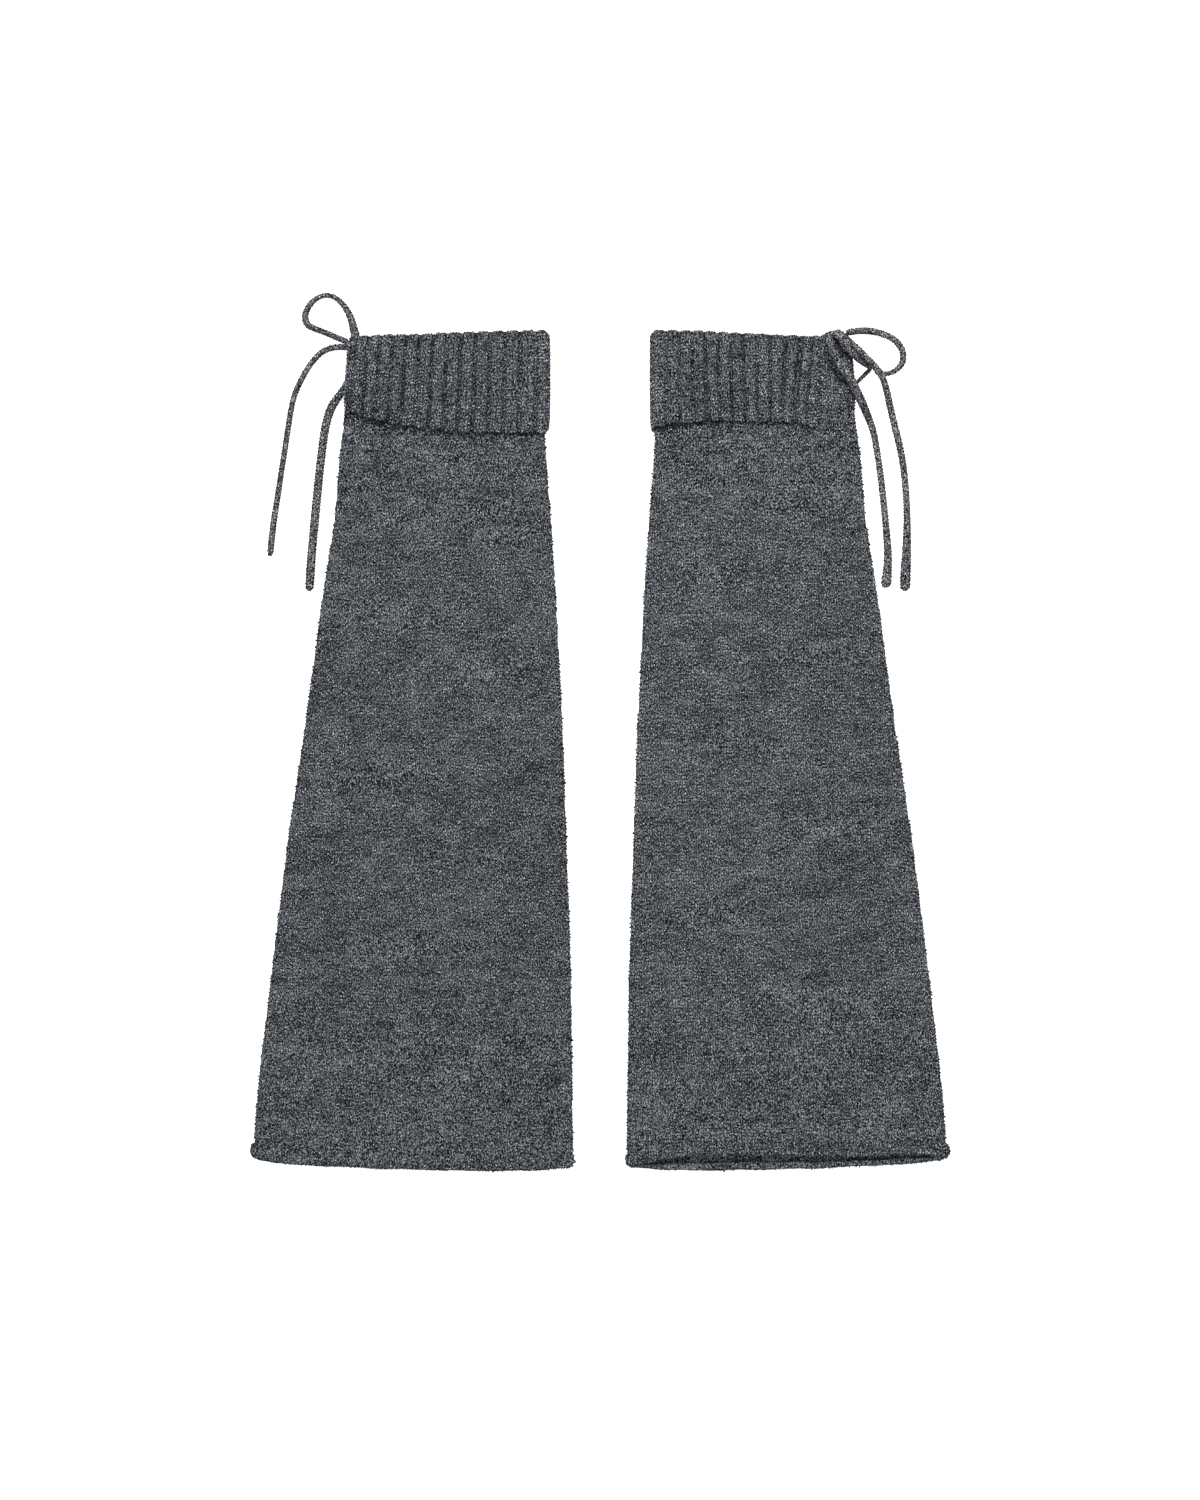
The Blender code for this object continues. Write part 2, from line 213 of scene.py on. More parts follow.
# %% How it is repeated
# The strands of a cord, a leg or a rib: their tilt and its spread in degrees, the lengths and the
# sizes that they vary between, and half their width and their height. Lengths are millimetres.
Strands = namedtuple("Strands", "tilt spread lengths sizes width height")
CORD_VS = Strands(26, 14, (2.2, 3.0), (0.8, 1.15), 0.6, 0.45)
LEG_VS = Strands(31, 17, (2.3, 3.1), (0.8, 1.2), 0.56, 0.58)
RIB_VS = Strands(28, 14, (2.3, 3.0), (0.8, 1.2), 0.58, 0.66)


def unit(vectors):
    return vectors / np.maximum(np.linalg.norm(vectors, axis=-1, keepdims=True), 1e-12)


def turned(first, second, angle):
    """Vectors at an angle from the first ones, towards the second ones."""
    return first * np.cos(angle)[:, None] + second * np.sin(angle)[:, None]


def tilts(strands, random, lean):
    """How far each arm of the Vs tilts from its wale, in radians."""
    return np.radians(strands.tilt + random.normal(0, strands.spread, len(lean))) * lean


def lay_strands(centres, along, out, length, width, height, dip=TIP_DIP):
    """Points and faces of many strands. length, width and height are each strand's own, in
    metres."""
    side = unit(np.cross(along, out))
    along, out = unit(along), unit(out)
    shape = STRAND_POINTS[None]
    tips = -dip * height[:, None] * shape[:, :, 2] ** 2
    points = (
        centres[:, None]
        + side[:, None] * (shape[:, :, 0] * width[:, None])[..., None]
        + out[:, None] * (shape[:, :, 1] * height[:, None] + tips)[..., None]
        + along[:, None] * (shape[:, :, 2] * length[:, None] / 2)[..., None]
    )
    faces = STRAND_FACES[None] + (np.arange(len(centres)) * len(STRAND_POINTS))[:, None, None]
    return points.reshape(-1, 3), faces.reshape(-1, 3)


def merged(parts):
    """One (points, faces, tones) from several."""
    points, faces, tones = zip(*parts)
    starts = np.cumsum([0] + [len(p) for p in points[:-1]])
    faces = [f + start for f, start in zip(faces, starts)]
    return np.concatenate(points), np.concatenate(faces), np.concatenate(tones)


def joined(name, parts):
    """One object from several (points, faces, tones). None of its points lies below the surface
    that the pair lies on."""
    points, faces, tones = merged(parts)
    points = np.maximum(points, (-np.inf, -np.inf, ABOVE_FLOOR * MM))
    mesh = bpy.data.meshes.new(name)
    mesh.vertices.add(len(points))
    mesh.vertices.foreach_set("co", points.astype(np.float32).ravel())
    mesh.loops.add(faces.size)
    mesh.loops.foreach_set("vertex_index", faces.astype(np.int32).ravel())
    mesh.polygons.add(len(faces))
    mesh.polygons.foreach_set("loop_start", np.arange(0, faces.size, 3, dtype=np.int32))
    mesh.update(calc_edges=True)
    mesh.validate()
    mesh.shade_smooth()
    # Each point carries its strand's random lightness and its painted shade.
    layer = mesh.attributes.new("tone_and_shade", "FLOAT", "POINT")
    layer.data.foreach_set("value", tones.astype(np.float32))
    print(name, len(mesh.polygons), "faces")
    return link(name, mesh)


print(f"the two arms of a leg's V stand {2 * LEG_VS.tilt} degrees apart on average")


# %% [markdown]
# ## Cords
#
# Each bow is one knitted cord. It shows as loops and tails, and each stretch is a cord of its
# own here, on the route that its solid follows. A knitted cord is a narrow tube of five wales,
# so it gets a plain core with Vs of strands round it. Its width changes a little, because soft
# knitting stretches round a bend and lies flatter where nothing pulls it.

# %% Routes of the cords
CORD_DIAMETER = 4.2

# across, down, height of the centre, and radius as a share of half the cord's diameter.
CORDS = {
    "left_tie_loop": (
        (146.4, 5.2, 2.9, 1.35), (148.2, -2.4, 2.6, 1.18), (150.4, -9.3, 2.2, 1.0),
        (153.8, -14.9, 2.1, 0.85), (158.2, -19.1, 2.1, 0.75), (163.2, -21.0, 2.1, 0.72),
        (168.5, -20.0, 2.1, 0.75), (173.0, -16.8, 2.1, 0.85), (176.0, -12.2, 2.1, 0.92),
        (177.1, -7.4, 2.1, 0.95), (175.3, -3.2, 2.1, 0.95), (170.5, -0.7, 2.1, 0.9),
        (164.8, 1.4, 2.1, 0.85), (158.6, 4.1, 2.3, 0.85), (154.2, 6.0, 2.9, 0.85),
        (151.2, 7.2, 3.3, 0.85),
    ),
    "left_tie_tail_outer": (
        (150.4, 10.8, 2.0, 0.88), (153.6, 10.1, 2.0, 0.88), (158.0, 10.1, 2.0, 0.88),
        (162.4, 10.9, 2.1, 0.9), (167.2, 13.3, 2.1, 0.88), (172.0, 18.0, 2.1, 0.86),
        (176.2, 23.9, 2.1, 0.85), (179.8, 30.5, 2.1, 0.85), (182.8, 37.2, 2.1, 0.85),
        (184.8, 44.0, 2.1, 0.85), (186.9, 56.0, 2.1, 0.85), (189.3, 72.0, 2.1, 0.85),
        (191.5, 86.0, 2.1, 0.85), (193.5, 99.5, 2.1, 0.88), (195.8, 114.0, 2.1, 0.92),
        (197.2, 126.0, 2.1, 0.95), (198.2, 135.6, 2.1, 0.95),
    ),
    "left_tie_tail_inner": (
        (145.6, 14.3, 2.6, 1.0), (147.6, 21.5, 2.6, 1.05), (149.8, 27.8, 2.6, 1.1),
        (152.8, 34.0, 2.7, 1.15), (156.8, 39.6, 2.8, 1.2), (160.6, 45.1, 2.8, 1.25),
        (163.2, 51.6, 2.8, 1.25), (165.2, 60.0, 2.8, 1.22), (167.0, 73.0, 2.8, 1.2),
        (168.6, 87.0, 2.8, 1.22), (170.1, 102.0, 2.8, 1.25), (171.5, 117.0, 2.8, 1.25),
        (172.9, 132.0, 2.8, 1.25), (173.9, 146.0, 2.9, 1.3), (174.5, 156.6, 2.9, 1.25),
    ),
    "right_tie_loop_front": (
        (147.2, 2.6, 13.8, 1.0), (152.6, 1.6, 11.6, 1.0), (157.4, 1.0, 8.8, 1.0),
        (163.2, 1.0, 5.4, 1.0), (168.8, 2.0, 3.2, 0.98), (174.4, 4.2, 2.4, 0.95),
        (178.9, 7.8, 2.3, 0.95), (181.8, 12.8, 2.3, 0.95), (181.7, 18.8, 2.3, 0.9),
        (178.6, 23.2, 2.2, 0.8), (174.0, 25.7, 2.1, 0.7), (169.0, 25.9, 2.1, 0.75),
        (164.9, 23.9, 2.2, 0.8),
    ),
    "right_tie_loop_back": (
        (143.9, 8.0, 13.8, 0.95), (147.4, 11.7, 14.8, 1.0), (151.2, 15.3, 14.2, 1.0),
        (155.2, 18.2, 10.4, 0.98), (159.2, 20.9, 6.2, 0.8), (162.3, 22.5, 4.3, 0.62),
        (161.6, 24.0, 2.8, 0.62), (157.6, 28.0, 1.9, 0.56), (153.8, 31.8, 1.8, 0.5),
        (149.8, 35.4, 1.8, 0.62),
    ),
    "right_tie_tail_inner": (
        (138.6, 8.2, 13.2, 1.15), (139.0, 13.4, 14.4, 1.25), (141.6, 18.2, 16.3, 1.3),
        (145.0, 24.0, 17.2, 1.32), (148.8, 29.4, 17.0, 1.32), (151.8, 35.1, 16.0, 1.3),
        (155.1, 41.1, 13.4, 1.25), (158.4, 47.3, 8.8, 1.18), (161.4, 53.6, 4.6, 1.08),
        (164.2, 61.4, 2.9, 0.98), (166.2, 72.0, 2.3, 0.95), (168.0, 84.0, 2.3, 0.95),
        (169.8, 99.0, 2.3, 0.98), (171.6, 117.0, 2.3, 1.0), (172.8, 134.0, 2.5, 1.14),
        (172.4, 146.0, 2.9, 1.36), (171.6, 151.5, 3.2, 1.54), (171.3, 154.5, 3.2, 1.5),
    ),
    "right_tie_tail_outer": (
        (147.6, 6.5, 12.7, 1.0), (154.4, 12.6, 12.8, 1.0), (159.4, 17.5, 10.7, 1.02),
        (164.6, 22.3, 8.0, 1.02), (169.0, 28.1, 6.8, 0.98), (171.7, 35.3, 4.6, 0.98),
        (173.9, 44.6, 2.6, 1.0), (176.4, 55.2, 2.3, 1.02), (179.2, 66.6, 2.3, 1.02),
        (181.7, 79.0, 2.3, 1.0), (183.2, 92.0, 2.3, 0.98), (184.2, 107.0, 2.3, 0.98),
        (184.3, 123.0, 2.6, 1.15), (183.8, 138.0, 3.0, 1.4), (183.2, 149.5, 3.2, 1.54),
        (183.0, 156.6, 3.2, 1.45),
    ),
}


def side_of(name):
    return name.split("_")[0]


def read_along(at, run, values):
    """The columns of some values, read at other places along their line."""
    return np.stack([np.interp(at, run, column) for column in values.T], axis=1)


def smooth_route(points, step):
    """Evenly spaced points on a smooth curve through a route's points (Catmull-Rom), and how far
    along it each one lies."""
    route = np.array([points[0], *points, points[-1]], float)
    route[0] = 2 * route[1] - route[2]
    route[-1] = 2 * route[-2] - route[-3]
    fine = []
    for a, b, c, d in zip(route, route[1:], route[2:], route[3:]):
        for t in np.linspace(0, 1, 12, endpoint=False):
            fine.append(0.5 * (2 * b + (c - a) * t + (2 * a - 5 * b + 4 * c - d) * t * t
                               + (3 * b - 3 * c + d - a) * t ** 3))
    fine = np.array([*fine, route[-2]])
    run = np.concatenate([[0], np.cumsum(np.linalg.norm(np.diff(fine[:, :3], axis=0), axis=1))])
    at = np.linspace(0, run[-1], max(2, round(run[-1] / step)) + 1)
    return read_along(at, run, fine), at


print("cords:", ", ".join(CORDS))

# %% A knitted cord round its route
CORD_SIDES = 10
CORD_WALES = 5
CORD_COURSE = 1.9
CORD_TWIST = 0.05  # radians for each millimetre
CORE_SHARE = 0.86  # the core's radius, as a share of the cord's
CORD_RING = 1.2  # between two rings of the core
YARN_SWELL = 1.08  # fuzzy yarn stands a little proud of the solid
TAIL_ENDS, LOOP_ENDS, WRAP_ENDS = (0.0, 3.2), (1.6, 0.8), (1.2, 2.4)  # how far each is rounded off
THIN = 0.75  # a strand is drawn thin below this share of half the cord's diameter
PAINTED_SHADE_OF_THIN = -2.4  # and gets painted shade there, as it lies under the others
TONE_OF_CORE = 0.35
PAINTED_EDGE_SHADE = -0.6  # painted shade: a strand that faces sideways, away from the light above, is darker
PAINTED_RIM_SHADE = -1.3  # and more so on a cord, which turns away on both sides: painted shade too
CORD_PAINTED_SHADE = {"left": -0.38, "right": 0.0}  # painted shade: the left leg's cord is drawn darker than the right one's


def frames_along(line):
    """Unit vectors along a line of points, and two square to it that turn as little as can be."""
    along = unit(np.gradient(line, axis=0))
    sides = [unit(np.cross(along[0], (0, 0, 1)))]
    for direction in along[1:]:
        sides.append(unit(sides[-1] - direction * np.dot(sides[-1], direction)))
    sides = np.array(sides)
    return along, sides, np.cross(sides, along)


def tube_core(line, radii):
    """A closed tube: a flat grid rolled up round the line, with its ends drawn in."""
    bm = bmesh.new()
    bmesh.ops.create_grid(bm, x_segments=CORD_SIDES, y_segments=len(line) - 1, size=1)
    _, side, up = frames_along(line)
    for vert in bm.verts:
        ring = round((vert.co.y + 1) / 2 * (len(line) - 1))
        turn = (vert.co.x + 1) * math.pi
        spoke = side[ring] * math.cos(turn) + up[ring] * math.sin(turn)
        vert.co = line[ring] + spoke * radii[ring]
    bmesh.ops.remove_doubles(bm, verts=bm.verts, dist=0.01 * MM)
    bmesh.ops.holes_fill(bm, edges=bm.edges, sides=0)
    bmesh.ops.recalc_face_normals(bm, faces=bm.faces)
    bmesh.ops.triangulate(bm, faces=bm.faces)
    return arrays_of(bm)


def knitted_tube(side, points, random, rounded):
    """A knitted tube's points, faces and tones with their painted shade, its line and its mean
    diameter. rounded is how far each end is rounded off, in millimetres."""
    route, run = smooth_route(points, CORD_RING)
    line = to_world(side, *route[:, :3].T)
    radii = route[:, 3] * CORD_DIAMETER / 2 * MM
    shown = radii * YARN_SWELL
    for end, reach in zip((run, run[-1] - run), rounded):
        if reach:
            shown = shown * np.sqrt(np.clip(1 - (1 - end / reach).clip(0, 1) ** 2, 0.12, 1))
    core, core_faces = tube_core(line, shown * CORE_SHARE)

    count = CORD_WALES * 2
    at = np.repeat(np.arange(0.6, run[-1] - 0.5, CORD_COURSE), count)
    strand = np.tile(np.arange(count), len(at) // count)
    at = at + random.normal(0, 0.25, len(at))
    lean = np.where(strand % 2 == 0, 1, -1)
    turn = (strand // 2 + 0.5 + lean * 0.25) * 2 * math.pi / CORD_WALES + at * CORD_TWIST
    along, across, up = (read_along(at, run, vectors) for vectors in frames_along(line))
    spoke = turned(across, up, turn)
    direction = turned(along, turned(up, -across, turn), tilts(CORD_VS, random, -lean))
    radius = np.interp(at, run, shown)
    size = random.uniform(*CORD_VS.sizes, len(at)) * radius / (CORD_DIAMETER / 2 * MM)
    height = CORD_VS.height * MM * size
    middle = read_along(at, run, line) + spoke * (radius - 0.7 * height)[:, None]
    length = random.uniform(*CORD_VS.lengths, len(at)) * MM
    strands, strand_faces = lay_strands(
        middle, direction, spoke, length, CORD_VS.width * MM * size, height)
    # Painted shade: on thin stretches, on strands facing sideways and on the left leg's cord.
    shade = PAINTED_SHADE_OF_THIN * np.clip(THIN - np.interp(at, run, route[:, 3]), 0, None)
    shade = shade + PAINTED_RIM_SHADE * (1 - np.abs(spoke[:, 2])) + CORD_PAINTED_SHADE[side]
    tones = np.repeat(random.random(len(at)) + shade, len(STRAND_POINTS))
    part = merged([(core, core_faces, np.full(len(core), TONE_OF_CORE)),
                   (strands, strand_faces, tones)])
    return part, line, 2 * float(radii.mean())


cord_pieces = {}
for name, points in CORDS.items():
    ends = TAIL_ENDS if "tail" in name else LOOP_ENDS
    part, line, thick = knitted_tube(side_of(name), points, np.random.default_rng(len(name)), ends)
    length = float(np.linalg.norm(np.diff(line, axis=0), axis=1).sum())
    cord_pieces[name] = (joined(name + "_knit", [part]), line, thick, length)
    print(f"  {length * 1000:.0f} mm long, {thick * 1000:.1f} mm thick")

# %% [markdown]
# ## Knots
#
# A bow's knot hides how it is tied: from outside it is a short thick wrap that the loops and
# tails come out of. The right one lies slanting over the cuff's top fold, beside the place where
# the inner tail comes over the fold. The left one is under the cuff, and only its end shows.

# %% Wraps of the knots
WRAPS = {
    "right_tie_knot": (
        ((141.4, 2.4, 10.2, 1.1), (142.2, 3.2, 12.6, 1.4), (143.6, 4.6, 13.9, 1.55),
         (145.4, 6.4, 14.2, 1.6), (147.4, 8.4, 14.2, 1.55), (149.4, 10.4, 13.8, 1.35)),
        ((135.6, 4.4, 10.0, 1.1), (135.9, 5.4, 12.2, 1.25), (137.0, 7.6, 13.2, 1.3),
         (138.6, 10.6, 13.7, 1.3)),
        ((131.5, 6.0, 8.6, 0.8), (135.0, 4.6, 9.6, 0.95), (138.4, 3.4, 10.4, 1.05),
         (141.4, 2.2, 11.0, 1.05)),
    ),
    "left_tie_knot": (
        ((142.5, 10.2, 3.0, 1.1), (145.5, 9.9, 3.1, 1.3), (148.6, 9.2, 3.3, 1.3),
         (151.2, 8.6, 3.5, 1.15), (153.2, 8.3, 3.6, 0.85)),
    ),
}

knot_pieces = {}
for name, wraps in WRAPS.items():
    random = np.random.default_rng(5)
    parts = [knitted_tube(side_of(name), wrap, random, WRAP_ENDS)[0] for wrap in wraps]
    knot_pieces[name] = joined(name + "_wrap", parts)

# %% [markdown]
# ## Reading the solids
#
# The cloth has to lie where the solids lie. Each solid is felt with straight needles: rays that
# say where its sides, its upper and lower faces, its folds and its hem are. A few smoothing
# passes take out the solid's facets.


# %% Needles
class Solid:
    """A CAD solid in a leg's own millimetres."""

    def __init__(self, name):
        sign = SIGN[side_of(name)]
        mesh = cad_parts[name].data
        points = [(sign * v.co.x / MM, LENGTH / 2 - v.co.y / MM, v.co.z / MM)
                  for v in mesh.vertices]
        self.tree = BVHTree.FromPolygons(points, [tuple(p.vertices) for p in mesh.polygons])

    def feel(self, start, towards):
        """Where a needle first touches the solid, or None."""
        return self.tree.ray_cast(Vector(start), Vector(towards))[0]

    def furthest(self, starts, towards, axis, pick):
        """The furthest touch along one axis, of several needles side by side."""
        touches = [self.feel(start, towards) for start in starts]
        return pick(t[axis] for t in touches if t is not None)


def smoothed(values, passes):
    values = np.array(values, float)
    for _ in range(passes):
        inner = (values[:-2] + 2 * values[1:-1] + values[2:]) / 4
        values = np.concatenate([values[:1], inner, values[-1:]])
    return values


def read_grid(grid, rows, columns, row, column):
    """A grid of measured values, read between its rows and columns."""
    r = np.interp(row, rows, np.arange(len(rows)))
    c = np.interp(column, columns, np.arange(len(columns)))
    i = np.minimum(r.astype(int), len(rows) - 2)
    j = np.minimum(c.astype(int), len(columns) - 2)
    u, v = r - i, c - j
    return (grid[i, j] * (1 - u) * (1 - v) + grid[i + 1, j] * u * (1 - v)
            + grid[i, j + 1] * (1 - u) * v + grid[i + 1, j + 1] * u * v)


touch = Solid("right_tube").feel((100, 250, 60), (0, 0, -1))
print(f"a needle pushed down into the middle of the right leg stops {touch.z:.1f} mm up")


# %% Where the ribs run
SOLID_RIBS = (0.0, 13, 0.25)
RIBS = {"left": (0.034, 13, 0.22), "right": (0.044, 15, 0.2)}


def rib_shares(first, count, narrowing):
    """The grooves between the ribs, as shares of the way across: the first one, how many ribs
    come after it, and how much narrower a rib is at the tied corner than at the inner side."""
    widths = 1 - narrowing * np.arange(count) / (count - 1)
    return first + (1 - first) * np.concatenate([[0], np.cumsum(widths)]) / widths.sum()


GROOVES = {side: rib_shares(*RIBS[side]) for side in SIDES}
solid_grooves = rib_shares(*SOLID_RIBS)
RIB_CROWNS = np.sort(np.concatenate([0.7 * solid_grooves[:-1] + 0.3 * solid_grooves[1:],
                                     0.3 * solid_grooves[:-1] + 0.7 * solid_grooves[1:]]))
print("grooves:", ", ".join(f"{len(GROOVES[side])} on the {side} cuff" for side in SIDES))

# %% The form of one leg
CUFF_ROWS = np.arange(4.0, 46.0, 3.0)
LEG_ROWS = np.arange(50.0, 490.0, 4.0)
HEIGHT_ROWS = np.arange(14.0, 490.0, 4.0)
SHARES = np.linspace(0.02, 0.98, 13)
NEEDLE_HEIGHTS = np.arange(0.3, 16.0, 0.4)
FAR = 400.0
IN_FROM_EDGE = 3  # where the heights are felt
IN_FROM_END = 2.5  # where the hem is felt
RIB_LEVEL, HEM_LEVEL = 30.0, 480.0  # how far down the cuff's and the hem's columns are placed
LEG_END = 498.0  # the columns are followed no further down
SHORT_LAYER = {"left": -1, "right": 1}  # the face whose hem lies further up
RIM_RISE = 1.1  # soft cloth curls a little further up than its solid


class LegForm:
    """Outline and heights of one leg, measured on its two solids."""

    def __init__(self, side):
        self.side = side
        self.tube, self.cuff = Solid(f"{side}_tube"), Solid(f"{side}_cuff")
        self.rows = np.concatenate([CUFF_ROWS, LEG_ROWS])
        self.outer = smoothed([self.edge(row, FAR, max) for row in self.rows], 3)
        self.inner = smoothed([self.edge(row, -FAR, min) for row in self.rows], 3)
        self.measure_heights()
        self.cuff_width = self.rib_across(1.0) - self.rib_across(0.0)
        self.measure_ends()

    def edge(self, row, start, pick):
        """The leg's side at a row: under the cuff, that is the cuff's own side less its cloth."""
        on_cuff = row < LEG_ROWS[0]
        solid = self.cuff if on_cuff else self.tube
        starts = [(start, row, z) for z in NEEDLE_HEIGHTS]
        side = solid.furthest(starts, (-math.copysign(1, start), 0, 0), 0, pick)
        return side - math.copysign(CUFF_STANDS, start) * on_cuff

    def measure_heights(self):
        """The middle of the leg's thickness, and half that thickness, on a grid."""
        tops, bottoms = [], []
        for row in HEIGHT_ROWS:
            inner, outer = self.sides_at(row)
            across = inner + IN_FROM_EDGE + SHARES * (outer - inner - 2 * IN_FROM_EDGE)
            tops.append([self.tube.feel((a, row, 60), (0, 0, -1)).z for a in across])
            bottoms.append([self.tube.feel((a, row, -20), (0, 0, 1)).z for a in across])
        tops, bottoms = np.array(tops), np.array(bottoms)
        middle = smoothed((tops + bottoms) / 2, 2)
        half = smoothed(((tops - bottoms) / 2).mean(axis=1), 2)
        # One more row above the first, because the cuff's top fold reaches past it.
        self.middle, self.height_rows = (np.concatenate([[2 * values[0] - values[2]], values])
                                         for values in (middle, HEIGHT_ROWS))
        self.half = np.concatenate([half[:1], half])

    def measure_ends(self):
        """The hem, the cuff's lower edge and the top fold, on the upper and the lower layer."""
        self.stations = np.linspace(self.inner[-1] + IN_FROM_END, self.outer[-1] - IN_FROM_END, 50)
        self.cuff_stations = np.array([self.rib_across(share) for share in RIB_CROWNS])
        self.hem, self.low, self.top = {}, {}, {}
        for face in (1, -1):
            heights = self.middle[-1, 0] + face * np.arange(0.6, self.half[-1], 0.3)
            hem = [self.tube.furthest([(a, 600, z) for z in heights], (0, -1, 0), 1, max)
                   for a in self.stations]
            self.hem[face] = smoothed(hem, 1) - RIM_RISE * (face == SHORT_LAYER[self.side])
            self.low[face] = self.touch_cuff(face, 56.0, stands=1.4, start=120, towards=-1)
            self.top[face] = self.touch_cuff(face, 3.0, stands=0.9, start=-60, towards=1)

    def touch_cuff(self, face, down, stands, start, towards):
        """How far down needles along each rib touch the cuff, just outside the leg's face."""
        touches = []
        for share, across in zip(RIB_CROWNS, self.cuff_stations):
            height = self.height(share, down) + face * (self.half_at(down) + stands)
            touches.append(self.cuff.feel((across, start, height), (0, towards, 0)).y)
        return np.array(touches)

    def sides_at(self, down):
        return (np.interp(down, self.rows, side) for side in (self.inner, self.outer))

    def across(self, share, down):
        """How far across a column lies: a share of the way between the leg's two folds."""
        inner, outer = self.sides_at(down)
        half = self.half_at(down)
        return inner + half + share * (outer - inner - 2 * half)

    def rib_across(self, share):
        return self.across(share, RIB_LEVEL)

    def half_at(self, down):
        return np.interp(down, self.height_rows, self.half)

    def height(self, share, down):
        return read_grid(self.middle, self.height_rows, SHARES,
                         np.asarray(down, float), np.asarray(share, float))

    def between_layers(self, table, stations, across, turn):
        up = (1 + np.sin(turn)) / 2
        return (up * np.interp(across, stations, table[1])
                + (1 - up) * np.interp(across, stations, table[-1]))

    def hem_at(self, share, turn):
        return self.between_layers(self.hem, self.stations, self.across(share, HEM_LEVEL), turn)

    def low_at(self, share, turn):
        return self.between_layers(self.low, self.cuff_stations, self.rib_across(share), turn)

    def top_at(self, share, turn):
        return self.between_layers(self.top, self.cuff_stations, self.rib_across(share), turn)

    def point(self, share, turn, down, out, pull=0.0):
        """A point of the cloth: its column's share of the way across, the way it faces round the
        leg, and its distance outside the leg's solid."""
        reach = self.half_at(down) + out
        across = self.across(share, down) + pull + reach * np.cos(turn)
        return to_world(self.side, across, down, self.height(share, down) + reach * np.sin(turn))


FORMS = {side: LegForm(side) for side in SIDES}
for side, form in FORMS.items():
    print(f"{side} leg: {form.outer[-1] - form.inner[-1]:.0f} mm wide at the hem,",
          f"{form.outer[2] - form.inner[2]:.0f} mm under the cuff,",
          f"hem at {form.hem[1].max():.0f} and {form.hem[-1].max():.0f} mm down")

# %% Where the cuff's lower edge lies flush
# Across, on the upper face: where it begins to, and from where it wholly does.
FLUSH = {"left": (150.0, 154.0), "right": (119.0, 131.0)}


def cuff_edge(form, share, turn):
    """How far across the cuff's face lies."""
    return form.rib_across(share) + (form.half_at(RIB_LEVEL) + CUFF_STANDS) * np.cos(turn)


def flush_share(form, share, turn):
    """1 where the cuff's lower edge lies flush on the leg, and 0 where it stands off."""
    flush = smooth_step(cuff_edge(form, share, turn), *FLUSH[form.side])
    return flush * np.where(turn > 0, 1, np.abs(np.cos(turn)))


for side, form in FORMS.items():
    flush = max(form.rib_across(1.0) - FLUSH[side][1], 0)
    print(f"the {side} cuff's edge lies flush on the last {flush:.0f} mm of its upper face")

# %% Painted shade in the knitting
PAINTED_GROOVE_SHADE = 0.42  # painted shade for each millimetre the knitting is sunk, and painted light for each it is raised
# Painted shadow of the cuff's lower edge on the leg just below it.
PAINTED_SHADOW_UNDER_CUFF = -0.9
FLUSH_LIGHT = 0.8  # the share of that shade which a flush edge takes away
LEG_PAINTED_SHADE = {"left": -0.13, "right": 0.0}  # painted shade: the left leg is drawn darker than the right one
SHADE_LEVEL = 60.0
SHADE_UNDER_CUFF = {  # across at that level, and how far down the cuff's edge shades the leg
    "left": ((40, 1.8), (60, 2.4), (100, 2.3), (112, 2.6), (146, 2.8), (154, 1.2)),
    "right": ((30, 1.4), (38, 2.6), (84, 2.6), (92, 1.8), (120, 1.4)),
}


def cuff_shade(form, share, turn, run):
    """Just below the cuff's edge the leg is in shade, except where that edge lies flush."""
    across, reach = zip(*SHADE_UNDER_CUFF[form.side])
    reach = np.interp(form.across(share, SHADE_LEVEL), across, reach)
    shade = PAINTED_SHADOW_UNDER_CUFF * hump(run - form.low_at(share, turn), reach)
    return shade * (1 - FLUSH_LIGHT * flush_share(form, share, turn))


for side, form in FORMS.items():
    shades = cuff_shade(form, SHARES, np.pi / 2, form.low_at(SHARES, np.pi / 2))
    print(f"shade at the {side} cuff's edge: from {shades.min():.2f} to {shades.max():.2f}")

# %% [markdown]
# ## The leg's cloth
#
# The cloth starts as a flat grid, which is what knitting is: columns of wales and rows of
# courses. The grid is wrapped round the leg, its lower rows are rolled inward as the curled hem,
# and its two long edges are joined. A Solidify modifier gives it its thickness. Soft troughs and
# ridges, listed one by one, keep the faces from lying dead flat.

# %% Soft creases
# across, down, half length, half width, lean in degrees, height: as seen on the upper face.
CREASES = {
    "left": (
        (95, 112, 62, 7, 4, -0.5), (70, 124, 46, 6, 8, 0.4), (118, 172, 40, 9, -6, -0.35),
        (60, 205, 34, 8, 5, 0.35), (140, 268, 38, 11, 3, -0.35), (76, 318, 42, 10, -8, 0.3),
        (120, 372, 50, 12, 4, -0.3), (58, 430, 40, 9, 10, 0.3), (150, 452, 36, 8, -5, -0.35),
        (46, 472, 30, 6, 2, 0.4),
    ),
    "right": (
        (88, 88, 60, 8, -3, -0.5), (120, 104, 44, 7, 5, 0.4), (62, 148, 36, 9, 6, 0.3),
        (130, 196, 46, 10, -5, -0.35), (80, 246, 44, 10, 4, 0.3), (140, 300, 40, 12, 7, -0.3),
        (66, 352, 38, 10, -6, -0.3), (125, 404, 48, 11, 3, 0.35), (50, 446, 34, 8, -8, -0.35),
        (155, 470, 38, 7, 4, 0.35),
    ),
}


